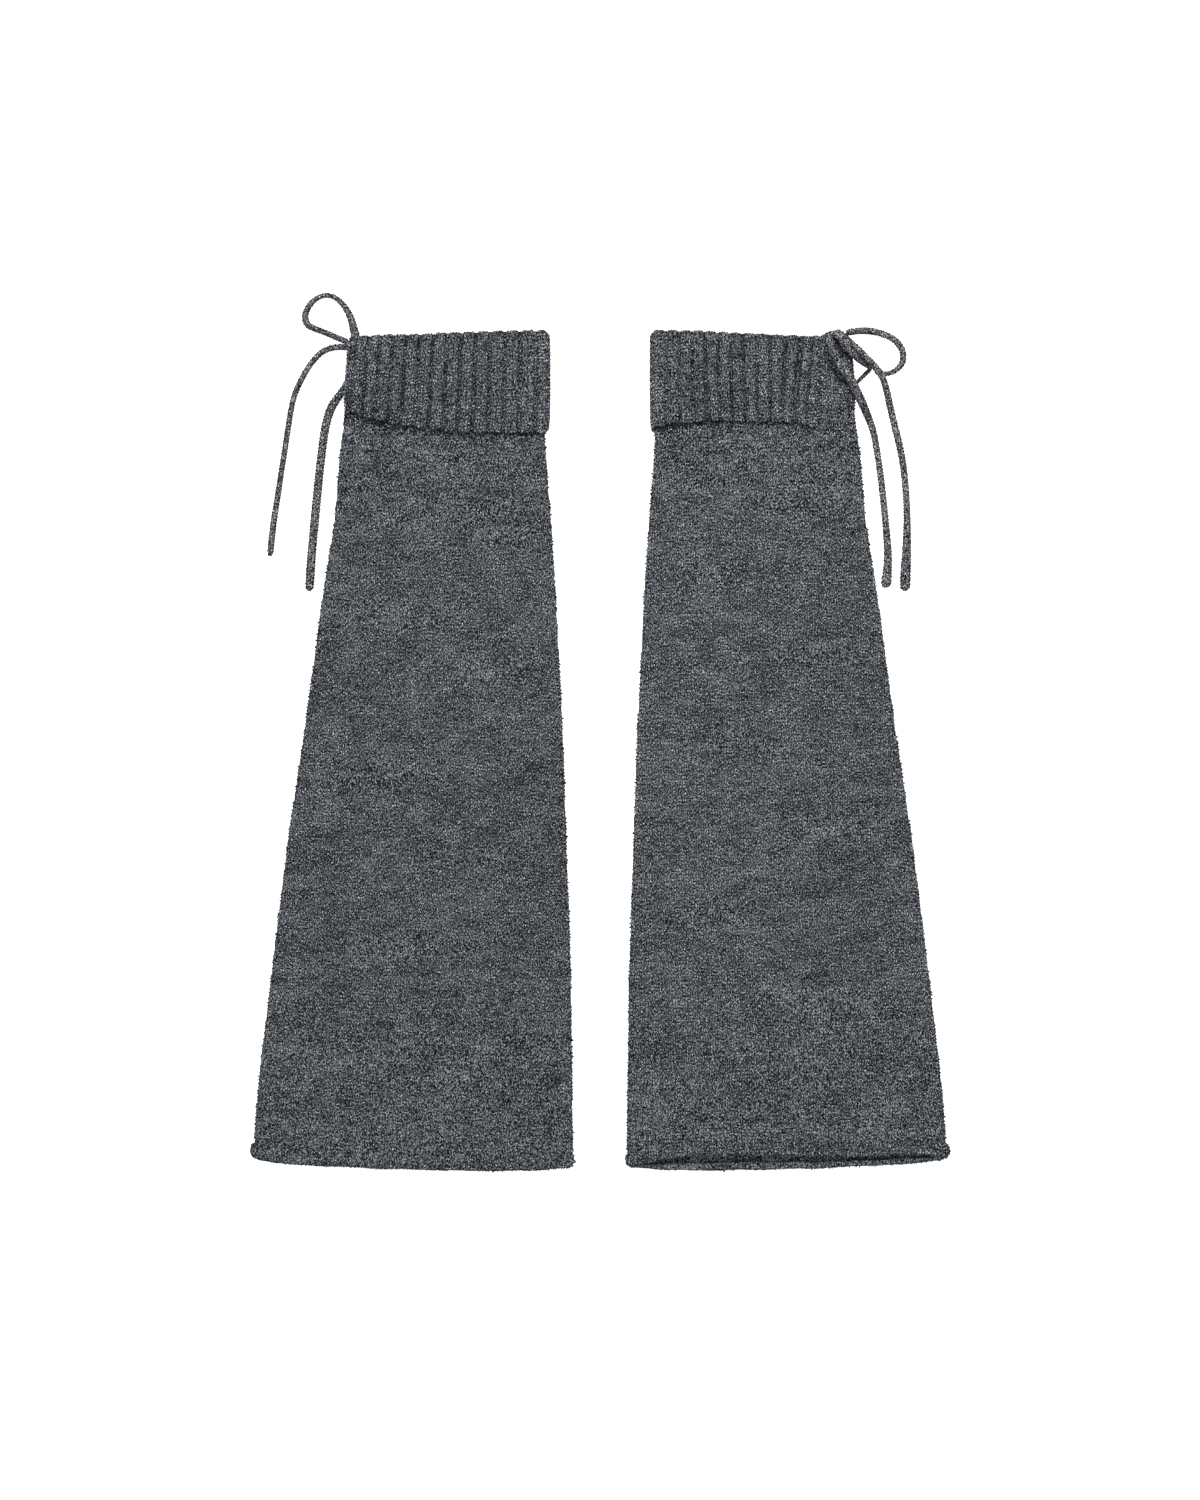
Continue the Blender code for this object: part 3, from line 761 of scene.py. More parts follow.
def crease_relief(side, across, down, turn):
    """How far the creases lift the upper face. On the lower one they only press inward, because
    it lies on the surface."""
    relief = np.zeros(np.broadcast(across, down, turn).shape)
    for a, d, half_length, half_width, lean, height in CREASES[side]:
        c, s = math.cos(math.radians(lean)), math.sin(math.radians(lean))
        u = ((across - a) * c + (down - d) * s) / half_length
        v = (-(across - a) * s + (down - d) * c) / half_width
        relief = relief + height * np.exp(-u ** 2 * 1.5 - v ** 2 * 1.5)
    up = np.sin(turn)
    return np.where(up > 0, relief * up, -np.abs(relief) * np.abs(up) * 0.6)


print(sum(len(creases) for creases in CREASES.values()), "creases on the legs")

# %% The curl of the hem
# Down from the hem line, and out from the hollow's face, from the flat face round to the edge.
# The layer that lies further up shows its rim and the other one its roll.
SHORT_CURL = ((-6.0, 2.0), (-3.4, 2.0), (-1.6, 1.6), (-0.4, 0.6), (-0.1, -0.8), (-1.2, -2.0),
              (-2.8, -2.3), (-4.2, -1.6), (-4.8, -0.2))
LONG_CURL = ((-6.0, 2.0), (-3.4, 1.9), (-1.3, 1.4), (-0.2, 0.3), (-0.1, -0.9), (-1.0, -2.2),
             (-2.6, -2.8), (-4.2, -2.3), (-5.2, -1.0))
CURL_START = SHORT_CURL[0][0]
CURL_STEPS = np.linspace(0, 1, 31)
# The tail of the long layer's curl reaches further up where the two hems are further apart.
CURL_TAIL = -3.0  # where it begins
TAIL_REACH = (0.7, 1.25)  # its least and most reach, which grows from APART_FROM, over APART_BY
APART_FROM, APART_BY = 0.4, 6.3


Curl = namedtuple("Curl", "down out fall slope length")


def curl_line(curl):
    """How far down and out a curl lies at each of its steps, how fast both grow, and how long
    it is."""
    line, run = smooth_route(curl, 0.4)
    down, out = read_along(CURL_STEPS, run / run[-1], line).T
    return Curl(down, out, np.gradient(down, CURL_STEPS), np.gradient(out, CURL_STEPS), run[-1])


SHORT_LINE, LONG_LINE = curl_line(SHORT_CURL), curl_line(LONG_CURL)


def short_share(form, turn):
    """1 on the layer whose hem lies further up, and 0 on the other one."""
    return (1 + SHORT_LAYER[form.side] * np.sin(turn)) / 2


def curl_length(form, turn):
    short = short_share(form, turn)
    return short * SHORT_LINE.length + (1 - short) * LONG_LINE.length


def curl_at(form, share, turn, fraction):
    """Down and out of the curl at a fraction of its length, with their slopes along the run."""
    on_short, on_long = ([np.interp(fraction, CURL_STEPS, values) for values in line[:4]]
                         for line in (SHORT_LINE, LONG_LINE))
    across = form.across(share, HEM_LEVEL)
    apart = np.abs(np.interp(across, form.stations, form.hem[1] - form.hem[-1]))
    reach = np.clip((apart - APART_FROM) / APART_BY, *TAIL_REACH)
    tail = CURL_TAIL + (on_long[0] - CURL_TAIL) * reach
    on_long[0] = np.where(on_long[0] < CURL_TAIL, tail, on_long[0])
    short, length = short_share(form, turn), curl_length(form, turn)
    down, out, fall, slope = (short * a + (1 - short) * b for a, b in zip(on_short, on_long))
    return down, out, fall / length, slope / length


print(f"the hem's curls are {SHORT_LINE.length:.1f} and {LONG_LINE.length:.1f} mm long")

# %% The leg's surface
HEM_RIPPLE = 0.35
ROLL_END = {"outer": (2.9, 4.8), "inner": (1.0, 4.0)}  # how far it stands out, half its length
FLAT_INSIDE, FOLD_INSIDE = -6.0, -3.4  # how far in the curl may reach, on a face and at a fold
# Above the upper rim: across, half width, height.
HEM_SWELLS = ((66, 9, 0.9), (123, 16, 1.3), (168, 9, 0.8))
RIDGE_HEIGHT, DIP_DEPTH = 1.4, 0.5


def ripple(across, seed):
    """An uneven wave along a hem or an edge, from -1 to 1."""
    return (0.5 * np.sin(across / 5.1 + seed) + 0.3 * np.sin(across / 11.7 + 2.1 * seed)
            + 0.2 * np.sin(across / 2.9 + 0.7 * seed))


def leg_surface(form, share, turn, run, out):
    """A point of the leg's cloth at a run along it, which goes on round the hem's curl."""
    flatness = np.abs(np.sin(turn))
    across = form.across(share, np.minimum(run, LEG_END))
    hem = form.hem_at(share, turn) + HEM_RIPPLE * ripple(across, 1.0) * flatness
    start = hem + CURL_START
    fraction = np.clip((run - start) / curl_length(form, turn), 0, 1)
    curl_down, curl_out, fall, slope = curl_at(form, share, turn, fraction)
    on_curl = run > start
    down = np.where(on_curl, hem + curl_down - out * slope, run)
    proud = np.where(on_curl, curl_out - WALL + out * fall, out)
    past = down - hem

    # At a fold the curl ends in a roll that stands out sideways, with a notch above it.
    sideways = np.clip(np.abs(np.cos(turn)) - 0.1, 0, 1)
    for end, nearer in (("outer", share > 0.5), ("inner", share <= 0.5)):
        stands, half = ROLL_END[end]
        lump = np.sqrt(np.clip(1 - ((np.minimum(past, 0) + half) / half) ** 2, 0, 1))
        notch = hump(past + 2 * half + 0.8, 1.4) * stands / 4
        proud = proud + np.where(nearer & (proud > -1.5), (stands * lump - notch) * sideways, 0)
    fold = 1 - flatness
    furthest_in = FOLD_INSIDE * fold + FLAT_INSIDE * (1 - fold)
    proud = np.where(on_curl, np.maximum(proud, furthest_in), proud)

    # Where the short layer is the upper one, it swells above its rim, then dips to it.
    short = np.clip(np.sin(turn), 0, 1) * (SHORT_LAYER[form.side] > 0)
    swell = sum(height * hump(across - at, width) for at, width, height in HEM_SWELLS)
    ridge = hump(past + 10.5, 4.2) * (0.5 + swell + 0.4 * ripple(across, 2.0))
    dip = hump(past + 3.5, 2.6) * (0.6 + 0.5 * ripple(across, 6.0))
    relief = short * (RIDGE_HEIGHT * ridge - DIP_DEPTH * dip)
    proud = proud + relief * (1 - smooth_step(fraction, 0.1, 0.4))
    creases = crease_relief(form.side, form.across(share, down), down, turn)
    return form.point(share, turn, down, proud + np.where(on_curl, 0, creases))


for side, form in FORMS.items():
    above_hem = form.hem_at(SHARES, np.pi / 2) - 10.0
    face = leg_surface(form, SHARES, np.pi / 2, above_hem, 0.0)
    print(f"10 mm above its hem the {side} leg is up to {face[:, 2].max() / MM:.1f} mm high")


# %% Wrap the grid round the leg
LEG_STARTS = 9.0  # below the top fold, inside the cuff's turned edge


def round_columns(shares, fold_steps):
    """Share and facing of each column: over the upper face, round the outer fold, back
    underneath, round the inner fold, and the first column again."""
    bend = np.linspace(90, -90, fold_steps + 1)[1:-1]
    over, under = np.full(len(shares), 90), np.full(len(shares), -90)
    share = np.concatenate([shares, np.ones(len(bend)), shares[::-1], np.zeros(len(bend)),
                            shares[:1]])
    return share, np.radians(np.concatenate([over, bend, under, 180 - bend[::-1], [90]]))


def wrapped_grid(name, columns, rows, place, thickness):
    """Cloth from a flat grid, joined along its long edges: place(column, row) gives its points
    and its tones, which hold painted shade."""
    bm = bmesh.new()
    bm.loops.layers.uv.new("cloth")
    tone_and_shade = bm.verts.layers.float.new("tone_and_shade")
    bmesh.ops.create_grid(bm, x_segments=columns - 1, y_segments=rows - 1, size=1, calc_uvs=True)
    flat = np.array([v.co for v in bm.verts])
    column = ((flat[:, 0] + 1) / 2 * (columns - 1)).round().astype(int)
    row = ((flat[:, 1] + 1) / 2 * (rows - 1)).round().astype(int)
    for vert, co, value in zip(bm.verts, *place(column, row)):
        vert.co = co
        vert[tone_and_shade] = value
    bmesh.ops.remove_doubles(bm, verts=bm.verts, dist=0.002 * MM)
    bmesh.ops.recalc_face_normals(bm, faces=bm.faces)
    top = max(bm.faces, key=lambda face: face.calc_center_median().z)
    if top.normal.z < 0:
        bmesh.ops.reverse_faces(bm, faces=bm.faces)
    cloth = object_of(bm, name)
    cloth.data.shade_smooth()
    wall = cloth.modifiers.new("wall", "SOLIDIFY")
    wall.thickness, wall.offset, wall.use_even_offset = thickness * MM, -1, False
    print(name, len(cloth.data.polygons), "faces")
    return cloth


def leg_shell(form):
    share, turn = round_columns(np.linspace(0, 1, 41), 8)
    body = np.concatenate([np.linspace(0, 0.93, 84), np.linspace(0.93, 1, 17)[1:]])
    curl = np.linspace(0, 1, 18)[1:]

    def place(column, row):
        s, t = share[column], turn[column]
        head, start = form.top_at(s, t) + LEG_STARTS, form.hem_at(s, t) + CURL_START
        run = np.where(row < len(body),
                       head + body[np.minimum(row, len(body) - 1)] * (start - head),
                       start + curl[np.maximum(row - len(body), 0)] * curl_length(form, t))
        return leg_surface(form, s, t, run, -STITCH_STANDS), 0.5 + cuff_shade(form, s, t, run)

    rows = len(body) + len(curl)
    return wrapped_grid(f"{form.side}_leg_cloth", len(share), rows, place, CLOTH)


leg_shells = {side: leg_shell(FORMS[side]) for side in SIDES}

# %% Vs of the leg
LEG_V_DEPTH = 0.75  # how deep their middles lie, as a share of the stitches' stand
NEXT_TO = 0.4  # how far off a second point is read, to see which way the cloth runs
TUFTS = 0.25  # the share of strands that fuzz out where the cloth turns away at an edge
FACING_AWAY = 0.6


def strand_tones_with_shade(random, out, shade):
    """For each strand: its yarn's random lightness, plus the painted shade that it is given
    and painted shade where it faces sideways.
    """
    tones = random.random(len(out)) + shade + PAINTED_EDGE_SHADE * (1 - np.abs(unit(out)[:, 2]))
    return np.repeat(tones, len(STRAND_POINTS))


def knit_vs(surface, shade, u, v, random):
    """Two strands for each stitch at (u, v). surface(u, v, out) gives points in metres, and u
    and v are millimetres along the cloth."""
    lean = np.tile([1, -1], len(u))
    u = u + 0.3 * np.sin(v / 7.3 + u / 19.0) + 0.25 * np.sin(v / 3.1 - u / 8.0)
    v = v + 0.5 * np.sin(u / 8.7 + v / 31.0) + 0.3 * np.sin(u / 3.7 - v / 17.0)
    u = np.repeat(u, 2) - lean * WALE / 4 + random.normal(0, 0.16, len(lean))
    v = np.repeat(v, 2) + random.normal(0, 0.34, len(lean))
    sunk = np.full(len(u), -STITCH_STANDS * LEG_V_DEPTH)
    middle = surface(u, v, sunk)
    out = surface(u, v, np.full(len(u), 0.3)) - middle
    down = unit(surface(u, v + NEXT_TO, sunk) - middle)
    across = unit(surface(u + NEXT_TO, v, sunk) - middle)
    along = turned(down, across, tilts(LEG_VS, random, lean))
    size = random.uniform(*LEG_VS.sizes, len(lean))
    tuft = np.where(random.random(len(lean)) < TUFTS, random.uniform(1.4, 2.7, len(lean)), 1.0)
    tuft = np.where(unit(out)[:, 2] < FACING_AWAY, tuft, 1.0)
    length = random.uniform(*LEG_VS.lengths, len(lean)) * MM
    height = LEG_VS.height * MM * tuft * random.uniform(0.7, 1.3, len(lean))
    points, faces = lay_strands(middle, along, out, length, LEG_VS.width * MM * size, height)
    return points, faces, strand_tones_with_shade(random, out, shade(u, v))


def leg_stitches(form, face, random):
    """The Vs of one face, from under the cuff's edge round the curl of the hem."""
    u, v = (x.ravel() for x in np.meshgrid(np.arange(-30.0, 250.0, WALE),
                                           np.arange(40.0, 520.0, COURSE)))
    u = u + SLANT[form.side] * SIGN[form.side] * face * v

    def columns_at(u, v):
        """Share and facing for a run across the cloth: past the flat part it goes round."""
        down = np.minimum(v, LEG_END)
        first, last = form.across(0.0, down), form.across(1.0, down)
        beyond = np.where(u > last, u - last, np.where(u < first, first - u, 0))
        beyond = beyond / form.half_at(down)
        bend = np.clip(beyond, 0, math.pi / 2)
        turn = np.where(u > last, math.pi / 2 - bend, math.pi / 2 + bend) * face
        return np.clip((u - first) / (last - first), 0, 1), turn, beyond

    def surface(u, v, out):
        share, turn, _ = columns_at(u, v)
        return leg_surface(form, share, turn, v, out)

    # Painted shade: the cuff's shadow on the leg, and the left leg drawn darker.
    def shade(u, v):
        share, turn, _ = columns_at(u, v)
        return cuff_shade(form, share, turn, v) + LEG_PAINTED_SHADE[form.side]

    share, turn, beyond = columns_at(u, v)
    keep = (beyond < math.pi / 2) & (v > form.low_at(share, turn) - 4)
    keep &= v < form.hem_at(share, turn) + CURL_START + curl_length(form, turn) - 0.8
    layer = "upper" if face > 0 else "lower"
    return joined(f"{form.side}_leg_stitches_{layer}",
                  [knit_vs(surface, shade, u[keep], v[keep], random)])


stitch_pieces = {}
for side in SIDES:
    for face in (1, -1):
        random = np.random.default_rng(31 + face + SIGN[side] * 5)
        stitch_pieces[side, face] = leg_stitches(FORMS[side], face, random)

# %% [markdown]
# ## The cuff
#
# The cuff is the ribbed top of the tube, turned down over the leg. From its lower edge the cloth
# runs up the outside, over the top fold and down inside the leg. A rib is two wales of Vs side
# by side, and the groove between two ribs is a wale of purl bumps that has sunk back.

# %% Ribs and creases of the cuff
RIB_DEPTH = 1.15
RIBS_PRESSED = {"left": 0.0, "right": 0.6}  # how much flatter the ribs are at the bow
GROOVE_HALF_WIDTH = 1.25
CROWN = 0.25
CREASE_END = 3.0  # how softly a crease ends
# Through the groove shade each crease is painted too: darker where it sinks, lighter where it
# rises. The last two on the right run beside the bow's inner tail, sunk and painted as its shadow
# on the cuff.
CUFF_CREASES = {  # two ends across and down, half width, height
    "left": (((148.5, 13.0), (144.0, 24.0), 1.0, -0.7), ((150.5, 10.0), (147.5, 8.5), 1.2, 0.6)),
    "right": (((115.5, 8.0), (114.5, 44.0), 1.4, -1.9), ((130.0, 15.0), (127.0, 40.0), 1.0, -0.7),
              ((113.0, 52.0), (128.0, 60.5), 1.3, 0.7), ((112.0, 55.0), (126.0, 64.0), 1.1, -0.7),
              ((146.5, 38.0), (141.0, 56.0), 1.0, -0.6), ((139.8, 4.0), (144.6, 18.0), 2.2, -2.4),
              ((131.0, 12.0), (148.8, 34.5), 1.8, -2.1)),
}


def rib_sink(form, share):
    """How deep a column of the rib lies, which is 1 in the middle of a groove and 0 on the rib,
    and how far along it is from one groove to the next."""
    grooves = GROOVES[form.side]
    i = np.clip(np.searchsorted(grooves, share, side="right") - 1, 0, len(grooves) - 2)
    width = grooves[i + 1] - grooves[i]
    q = np.abs(share - grooves[i]) / width
    return hump(np.minimum(q, 1 - q) * width * form.cuff_width, GROOVE_HALF_WIDTH), q


def rib_relief(form, share, turn, down):
    sunk, q = rib_sink(form, share)
    uneven = 1 + 0.35 * np.sin(down / 9.0 + share * 57.0) + 0.2 * np.sin(share * 131.0)
    uneven = uneven * (0.55 + 0.45 * smooth_step(share, 0.05, 0.4))
    uneven = uneven * (1 - RIBS_PRESSED[form.side] * smooth_step(share, 0.7, 0.85))
    return (-RIB_DEPTH * uneven * sunk - CROWN * (2 * q - 1) ** 2) * np.sin(turn) ** 2


def crease_lines(lines, across, down):
    relief = np.zeros(np.broadcast(across, down).shape)
    for (a0, d0), (a1, d1), half_width, height in lines:
        length2 = (a1 - a0) ** 2 + (d1 - d0) ** 2
        t = ((across - a0) * (a1 - a0) + (down - d0) * (d1 - d0)) / length2
        off = np.abs((across - a0) * (d1 - d0) - (down - d0) * (a1 - a0)) / math.sqrt(length2)
        past = np.clip(np.abs(t - 0.5) - 0.35, 0, None) * math.sqrt(length2)
        relief = relief + height * np.exp(-(off / half_width) ** 2 - (past / CREASE_END) ** 2)
    return relief


def cuff_relief(form, share, turn, run):
    """How far the ribs and the creases lift or sink a point of the cuff's face."""
    low = form.low_at(share, turn)
    down = low - np.clip(run, 0, low - form.top_at(share, turn))
    lines = crease_lines(CUFF_CREASES[form.side], form.rib_across(share), down)
    return rib_relief(form, share, turn, down), lines * np.clip(np.sin(turn), 0, 1)


# Painted shade in the ribs' grooves and sunk creases, and painted light on raised creases.
def groove_painted_shade(form, share, turn, run):
    return PAINTED_GROOVE_SHADE * sum(cuff_relief(form, share, turn, run))


for side, form in FORMS.items():
    depths = sum(cuff_relief(form, np.linspace(0, 1, 200), np.pi / 2, 20.0))
    print(f"the {side} cuff's relief 20 mm up: {depths.min():.1f} to {depths.max():.1f} mm")

# %% The cuff's surface
FOLD_RADIUS = 2.1
INSIDE_FLAP = 7.0
LOW_RIPPLE, TOP_RIPPLE = 0.5, 0.25
CORNER_DROP, CORNER_REACH = 2.6, 5.0  # how the top fold rounds off at its inner corner
CUFF_SIDE = 5.0  # how far the cuff's face goes on beyond its first column
FLUSH_STANDS = 0.35
GATHER = {"left": 0.0, "right": 0.7}  # how much the ribs are drawn together under the bow
GATHER_AT, GATHER_WIDTH = 139.0, 26.0


def gather_pull(form, across, climb, turn):
    """The ribs of the bow's face are drawn together under the knot, most at the top."""
    near = GATHER_AT - across
    pull = GATHER[form.side] * near * hump(near, GATHER_WIDTH)
    return pull * np.clip(climb, 0, 1) ** 1.2 * np.clip(np.sin(turn), 0, 1)


def cuff_surface(form, share, turn, run, out):
    """A point of the cuff at a run from its lower edge: up the outside, over, and inside."""
    level, edge = form.rib_across(share), cuff_edge(form, share, turn)
    flatness = np.abs(np.sin(turn))
    low = form.low_at(share, turn) + LOW_RIPPLE * ripple(level, 4.0) * flatness
    from_corner = edge - (form.rib_across(0.0) - CUFF_SIDE)
    near = np.clip(1 - from_corner / CORNER_REACH, 0, 1)
    drop = CORNER_DROP * (1 - np.sqrt(1 - near * near))
    top = form.top_at(share, turn) + drop + TOP_RIPPLE * ripple(level, 5.0)

    ribs, lines = cuff_relief(form, share, turn, run)
    flush = flush_share(form, share, turn)
    stands = CUFF_STANDS - (CUFF_STANDS - FLUSH_STANDS) * flush * (1 - smooth_step(run, 1.0, 19.0))
    ribs = ribs * (1 - 0.75 * flush * (1 - smooth_step(run, 2.0, 26.0)))
    outside = stands + ribs + lines

    # Up to the fold, round it, and down inside.
    climb = low - (top + FOLD_RADIUS)
    bend = np.clip((run - climb) / FOLD_RADIUS, 0, math.pi)
    inside = np.clip(run - climb - math.pi * FOLD_RADIUS, 0, None)
    reach = FOLD_RADIUS + out
    scallop = 0.75 * rib_sink(form, share)[0] * flatness
    down = np.where(run < climb, low - run,
                    top + FOLD_RADIUS - (reach - scallop) * np.sin(bend) + inside)
    proud = np.where(run < climb, outside + out, outside - FOLD_RADIUS + reach * np.cos(bend))
    proud = proud - np.clip(1 - run / 3.0, 0, 1) * 0.5 * (1 - flush)
    pull = gather_pull(form, level, 1 - (down - top) / (low - top), turn)
    return form.point(share, turn, down, proud, pull)


def cuff_shell(form):
    grooves = GROOVES[form.side]
    steps = np.array([0, 0.08, 0.17, 0.32, 0.5, 0.68, 0.83, 0.92])
    shares = np.concatenate([np.linspace(0, grooves[0], 6)[:-1]]
                            + [a + steps * (b - a) for a, b in zip(grooves, grooves[1:])]
                            + [[1.0]])
    share, turn = round_columns(shares, 10)
    climb = np.linspace(0, 1, 24)
    fold = np.linspace(0, math.pi * FOLD_RADIUS, 10)[1:]
    after = np.concatenate([fold, fold[-1] + np.linspace(0, INSIDE_FLAP, 4)[1:]])

    def place(column, row):
        s, t = share[column], turn[column]
        reach = form.low_at(s, t) - form.top_at(s, t) - FOLD_RADIUS
        run = np.where(row < len(climb), climb[np.minimum(row, len(climb) - 1)] * reach,
                       reach + after[np.maximum(row - len(climb), 0)])
        tones = 0.5 + groove_painted_shade(form, s, t, run)
        return cuff_surface(form, s, t, run, -STITCH_STANDS), tones

    rows = len(climb) + len(after)
    return wrapped_grid(f"{form.side}_cuff_cloth", len(share), rows, place, CUFF_CLOTH)


cuff_shells = {side: cuff_shell(FORMS[side]) for side in SIDES}

# %% Vs and purl bumps of the ribs
RIB_WALES = (0.31, 0.69)  # where the two wales of a rib lie between its grooves
SIDE_FACINGS = (60.0, 20.0, -20.0, -60.0)  # of the wales round the cuff's sides, in degrees
RIB_V_DEPTH, PURL_DEPTH = 0.7, 0.8
PURL = Strands(0, 0, (2.1, 2.6), (1, 1), 0.75, 0.55)
PURL_DIP = 0.35


def cuff_stitches(form, random):
    grooves = GROOVES[form.side]
    runs = np.arange(0.8, 78.0, COURSE)
    knit, purl = [], []
    for face in (90.0, -90.0):
        for start, end in zip(grooves, grooves[1:]):
            knit += [(start + q * (end - start), face) for q in RIB_WALES]
        knit += [(0.0, face), (grooves[0] - RIB_WALES[0] * (grooves[1] - grooves[0]), face)]
        purl += [(groove, face) for groove in grooves]
    for turn in SIDE_FACINGS:
        knit += [(1.0, turn), (0.0, 180.0 - turn)]

    def grid(columns):
        share = np.repeat([c[0] for c in columns], len(runs))
        turn = np.radians(np.repeat([c[1] for c in columns], len(runs)))
        run = np.tile(runs, len(columns))
        end = form.low_at(share, turn) - form.top_at(share, turn) + 6.0
        return share[run < end], turn[run < end], run[run < end]

    def feel(share, turn, run, depth):
        """The middle of each strand, and which way is out and down the cuff there."""
        sunk = np.full(len(run), -STITCH_STANDS * depth)
        middle = cuff_surface(form, share, turn, run, sunk)
        return (middle, cuff_surface(form, share, turn, run, sunk + 0.8) - middle,
                middle - cuff_surface(form, share, turn, run + NEXT_TO, sunk))

    share, turn, run = (np.repeat(values, 2) for values in grid(knit))
    lean = np.tile([1, -1], len(share) // 2)
    flat = np.abs(np.sin(turn)) > 0.99
    share = np.where(flat, share - lean * (WALE / 4 / form.cuff_width), share)
    turn = np.where(flat, turn, turn + lean * 0.16)
    share = np.where(flat, share + random.normal(0, 0.22, len(run)) / form.cuff_width, share)
    run = run + random.normal(0, 0.2, len(run))
    middle, out, down = feel(share, turn, run, RIB_V_DEPTH)
    tilt = tilts(RIB_VS, random, lean)
    along = turned(unit(down), unit(np.cross(out, down)) * -SIGN[form.side], tilt)
    size = random.uniform(*RIB_VS.sizes, len(run))
    length = random.uniform(*RIB_VS.lengths, len(run)) * MM
    vs = lay_strands(middle, along, out, length, RIB_VS.width * MM * size,
                     RIB_VS.height * MM * size)
    vs_tones = strand_tones_with_shade(random, out, groove_painted_shade(form, share, turn, run))

    share, turn, run = grid(purl)
    run = run + 1.0 + random.normal(0, 0.25, len(run))
    middle, out, down = feel(share, turn, run, PURL_DEPTH)
    length = random.uniform(*PURL.lengths, len(run)) * MM
    width, height = np.full(len(run), PURL.width * MM), np.full(len(run), PURL.height * MM)
    bumps = lay_strands(middle, np.cross(out, down), out, length, width, height, PURL_DIP)
    bump_tones = strand_tones_with_shade(random, out, groove_painted_shade(form, share, turn, run))
    return joined(f"{form.side}_cuff_stitches", [(*vs, vs_tones), (*bumps, bump_tones)])


for side in SIDES:
    random = np.random.default_rng(77 + SIGN[side])
    stitch_pieces[side, "cuff"] = cuff_stitches(FORMS[side], random)

# %% [markdown]
# ## Finishes
#
# The yarn is a melange: black, grey and nearly white fibres spun together. Close up it is salt
# and pepper, and further away it gathers in soft streaks along the courses. Every strand also
# has a random lightness of its own, and painted shade on top: darker in grooves, below the
# cuff's edge, on thin stretches of cord, where it faces sideways and on the left leg, lighter on
# raised creases. Its mesh carries both as an attribute. One node group makes that colour for
# every piece.


# %% The melange group
def new_node(tree, kind, sockets, **settings):
    """A node with its settings. Each socket takes a value or another node's output."""
    node = tree.nodes.new("ShaderNode" + kind)
    for name, value in settings.items():
        setattr(node, name, value)
    for socket, value in sockets.items():
        if isinstance(value, bpy.types.NodeSocket):
            tree.links.new(value, node.inputs[socket])
        else:
            node.inputs[socket].default_value = value
    return node


def melange_group():
    """Colour of the yarn and the height of its fibres, from a place and a strand's random
    lightness with its painted shade.
    """
    group = bpy.data.node_groups.new("melange_yarn", "ShaderNodeTree")
    for label, kind, value in (
            ("Place", "Vector", (0, 0, 0)), ("Tone_and_shade", "Float", 0.5),
            ("Colour", "Color", (0.1, 0.107, 0.115, 1)), ("Fleck", "Float", 1.0),
            ("Streaks", "Float", 1.0)):
        socket = group.interface.new_socket(label, in_out="INPUT", socket_type=f"NodeSocket{kind}")
        socket.default_value = value
    for label, kind in (("Colour", "Color"), ("Height", "Float")):
        group.interface.new_socket(label, in_out="OUTPUT", socket_type=f"NodeSocket{kind}")
    given, made = group.nodes.new("NodeGroupInput").outputs, group.nodes.new("NodeGroupOutput")

    def noise(scale, detail, stretch=(1, 1, 1)):
        mapping = new_node(group, "Mapping", {"Vector": given["Place"], "Scale": stretch})
        return new_node(group, "TexNoise", {"Vector": mapping.outputs["Vector"], "Scale": scale,
                                            "Detail": detail, "Roughness": 0.5}).outputs["Fac"]

    def maths(operation, *values):
        return new_node(group, "Math", dict(enumerate(values)), operation=operation).outputs[0]

    def centred(value, gain):
        return maths("MULTIPLY", maths("SUBTRACT", value, 0.5), gain)

    fibres = noise(2500, 0, (1.1, 0.6, 1))
    flecks = noise(1550, 0, (1.2, 0.62, 1))
    streaks = noise(130, 2, (0.6, 1.3, 1))
    clouds = noise(32, 1, (0.9, 1.1, 1))
    tint = noise(38, 1)
    fine = maths("ADD", centred(fibres, 4.8), centred(flecks, 6.2))
    local = maths("MULTIPLY", maths("ADD", fine, centred(given["Tone_and_shade"], 0.95)), given["Fleck"])
    broad = maths("ADD", centred(streaks, 1.15), centred(clouds, 0.5))
    broad = maths("MULTIPLY", broad, given["Streaks"])
    power = maths("ADD", maths("ADD", local, broad), 1.0)
    gain = maths("MINIMUM", maths("POWER", maths("MAXIMUM", power, 0.1), 2.6), 9.0)

    shift = new_node(group, "Mix", {
        "Factor": maths("MULTIPLY_ADD", centred(tint, 4.0), 1.0, 0.5),
        "A": (0.994, 1.0, 0.999, 1), "B": (1.0, 0.998, 1.002, 1)}, data_type="RGBA")
    product = new_node(group, "Mix", {
        "Factor": 1, "A": given["Colour"], "B": shift.outputs["Result"]},
        data_type="RGBA", blend_type="MULTIPLY")
    # Dark fibres are a little bluer than light ones.
    gains = new_node(group, "CombineXYZ", {
        axis: maths("POWER", gain, exponent) for axis, exponent in enumerate((1.05, 1.0, 0.96))})
    scaled = new_node(group, "VectorMath", {
        0: product.outputs["Result"], 1: gains.outputs[0]}, operation="MULTIPLY")
    group.links.new(scaled.outputs[0], made.inputs["Colour"])
    group.links.new(fibres, made.inputs["Height"])
    return group


MELANGE = melange_group()
print(MELANGE.name, "has", len(MELANGE.nodes), "nodes")

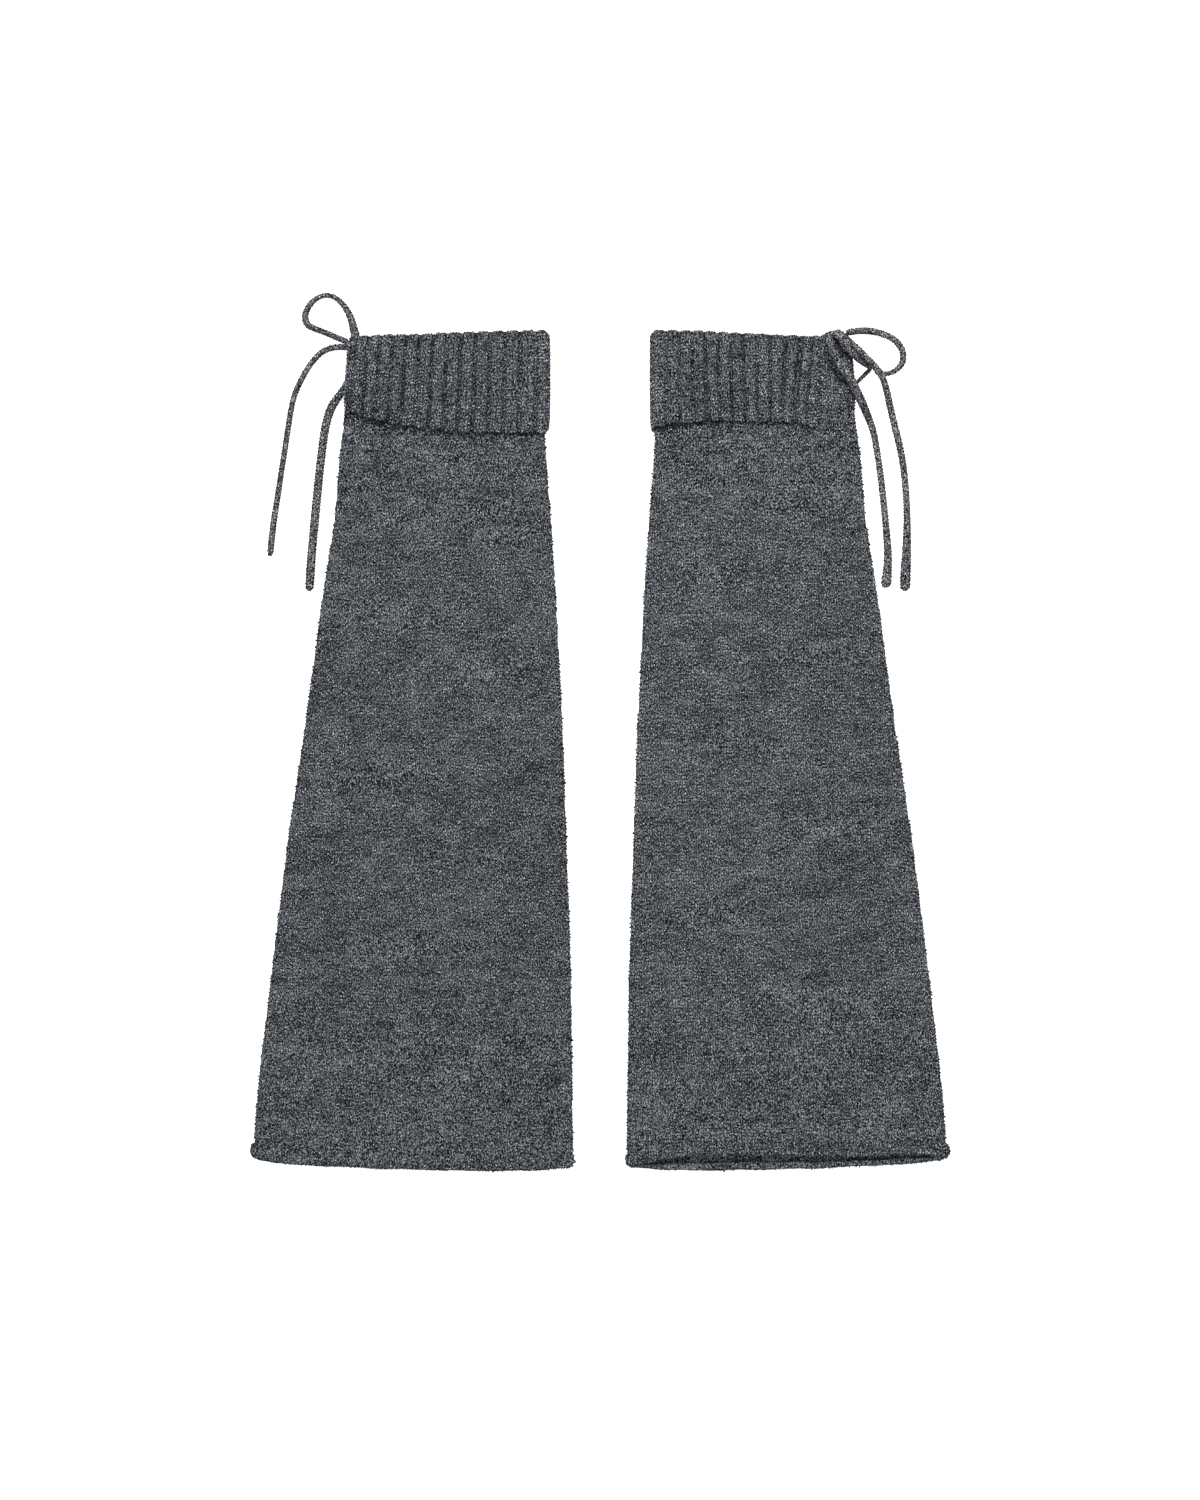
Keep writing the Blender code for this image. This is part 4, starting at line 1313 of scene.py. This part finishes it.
# %% A material for each yarn
YARN_SURFACE = {"Roughness": 0.92, "Specular IOR Level": 0.15, "Sheen Weight": 0.06,
                "Sheen Roughness": 0.45, "Sheen Tint": (0.75, 0.78, 0.82, 1)}
YARNS = {  # colour, and how strong its flecks and its streaks are
    "leg_yarn": ((0.077, 0.090, 0.103), 0.97, 1.0),
    "cuff_yarn": ((0.115, 0.132, 0.149), 0.64, 0.55),
    "cord_yarn": ((0.088, 0.094, 0.1065), 0.66, 0.5),
    # The grounds are the cloth under the stitches, drawn far darker than the yarn: painted shade
    # between the stitches.
    "leg_ground_painted_shade": ((0.028, 0.033, 0.038), 0.9, 1.0),
    "cuff_ground": ((0.029, 0.034, 0.039), 0.8, 0.55),
}


def yarn_material(name, colour, fleck, streaks):
    material, tree, shader = new_material(name, YARN_SURFACE)
    yarn = new_node(tree, "Group", {
        "Place": new_node(tree, "TexCoord", {}).outputs["Object"],
        "Tone_and_shade": new_node(tree, "Attribute", {}, attribute_name="tone_and_shade").outputs["Fac"],
        "Colour": (*colour, 1), "Fleck": fleck, "Streaks": streaks}, node_tree=MELANGE)
    bump = new_node(tree, "Bump", {
        "Height": yarn.outputs["Height"], "Strength": 0.6, "Distance": 0.25 * MM})
    tree.links.new(yarn.outputs["Colour"], shader.inputs["Base Color"])
    tree.links.new(bump.outputs["Normal"], shader.inputs["Normal"])
    return material


materials = {name: yarn_material(name, *values) for name, values in YARNS.items()}
print("finishes:", ", ".join(materials))

# %% [markdown]
# ## Hand over
#
# Each piece rides on the root body and takes its finish, and each solid that a piece stands
# for is hidden.


# %% Pieces and bodies
def hand_over(piece, finish, slot, *nodes):
    piece.data.materials.append(materials[finish])
    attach(piece, "root")
    if nodes:
        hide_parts(*nodes)


for name, (piece, line, thick, length) in cord_pieces.items():
    hand_over(piece, "cord_yarn", "tie_cord", name)

for name, piece in knot_pieces.items():
    hand_over(piece, "cord_yarn", "tie_cord", name)

for side in SIDES:
    hand_over(leg_shells[side], "leg_ground_painted_shade", "body_knit", f"{side}_tube")
    hand_over(cuff_shells[side], "cuff_ground", "cuff_rib", f"{side}_cuff")
    stitches = [stitch_pieces[side, 1], stitch_pieces[side, -1]]
    for piece in stitches:
        hand_over(piece, "leg_yarn", "body_knit")
    hand_over(stitch_pieces[side, "cuff"], "cuff_yarn", "cuff_rib")

handed_over = (cord_pieces, knot_pieces, leg_shells, cuff_shells, stitch_pieces)
print(sum(len(pieces) for pieces in handed_over), "pieces handed over")
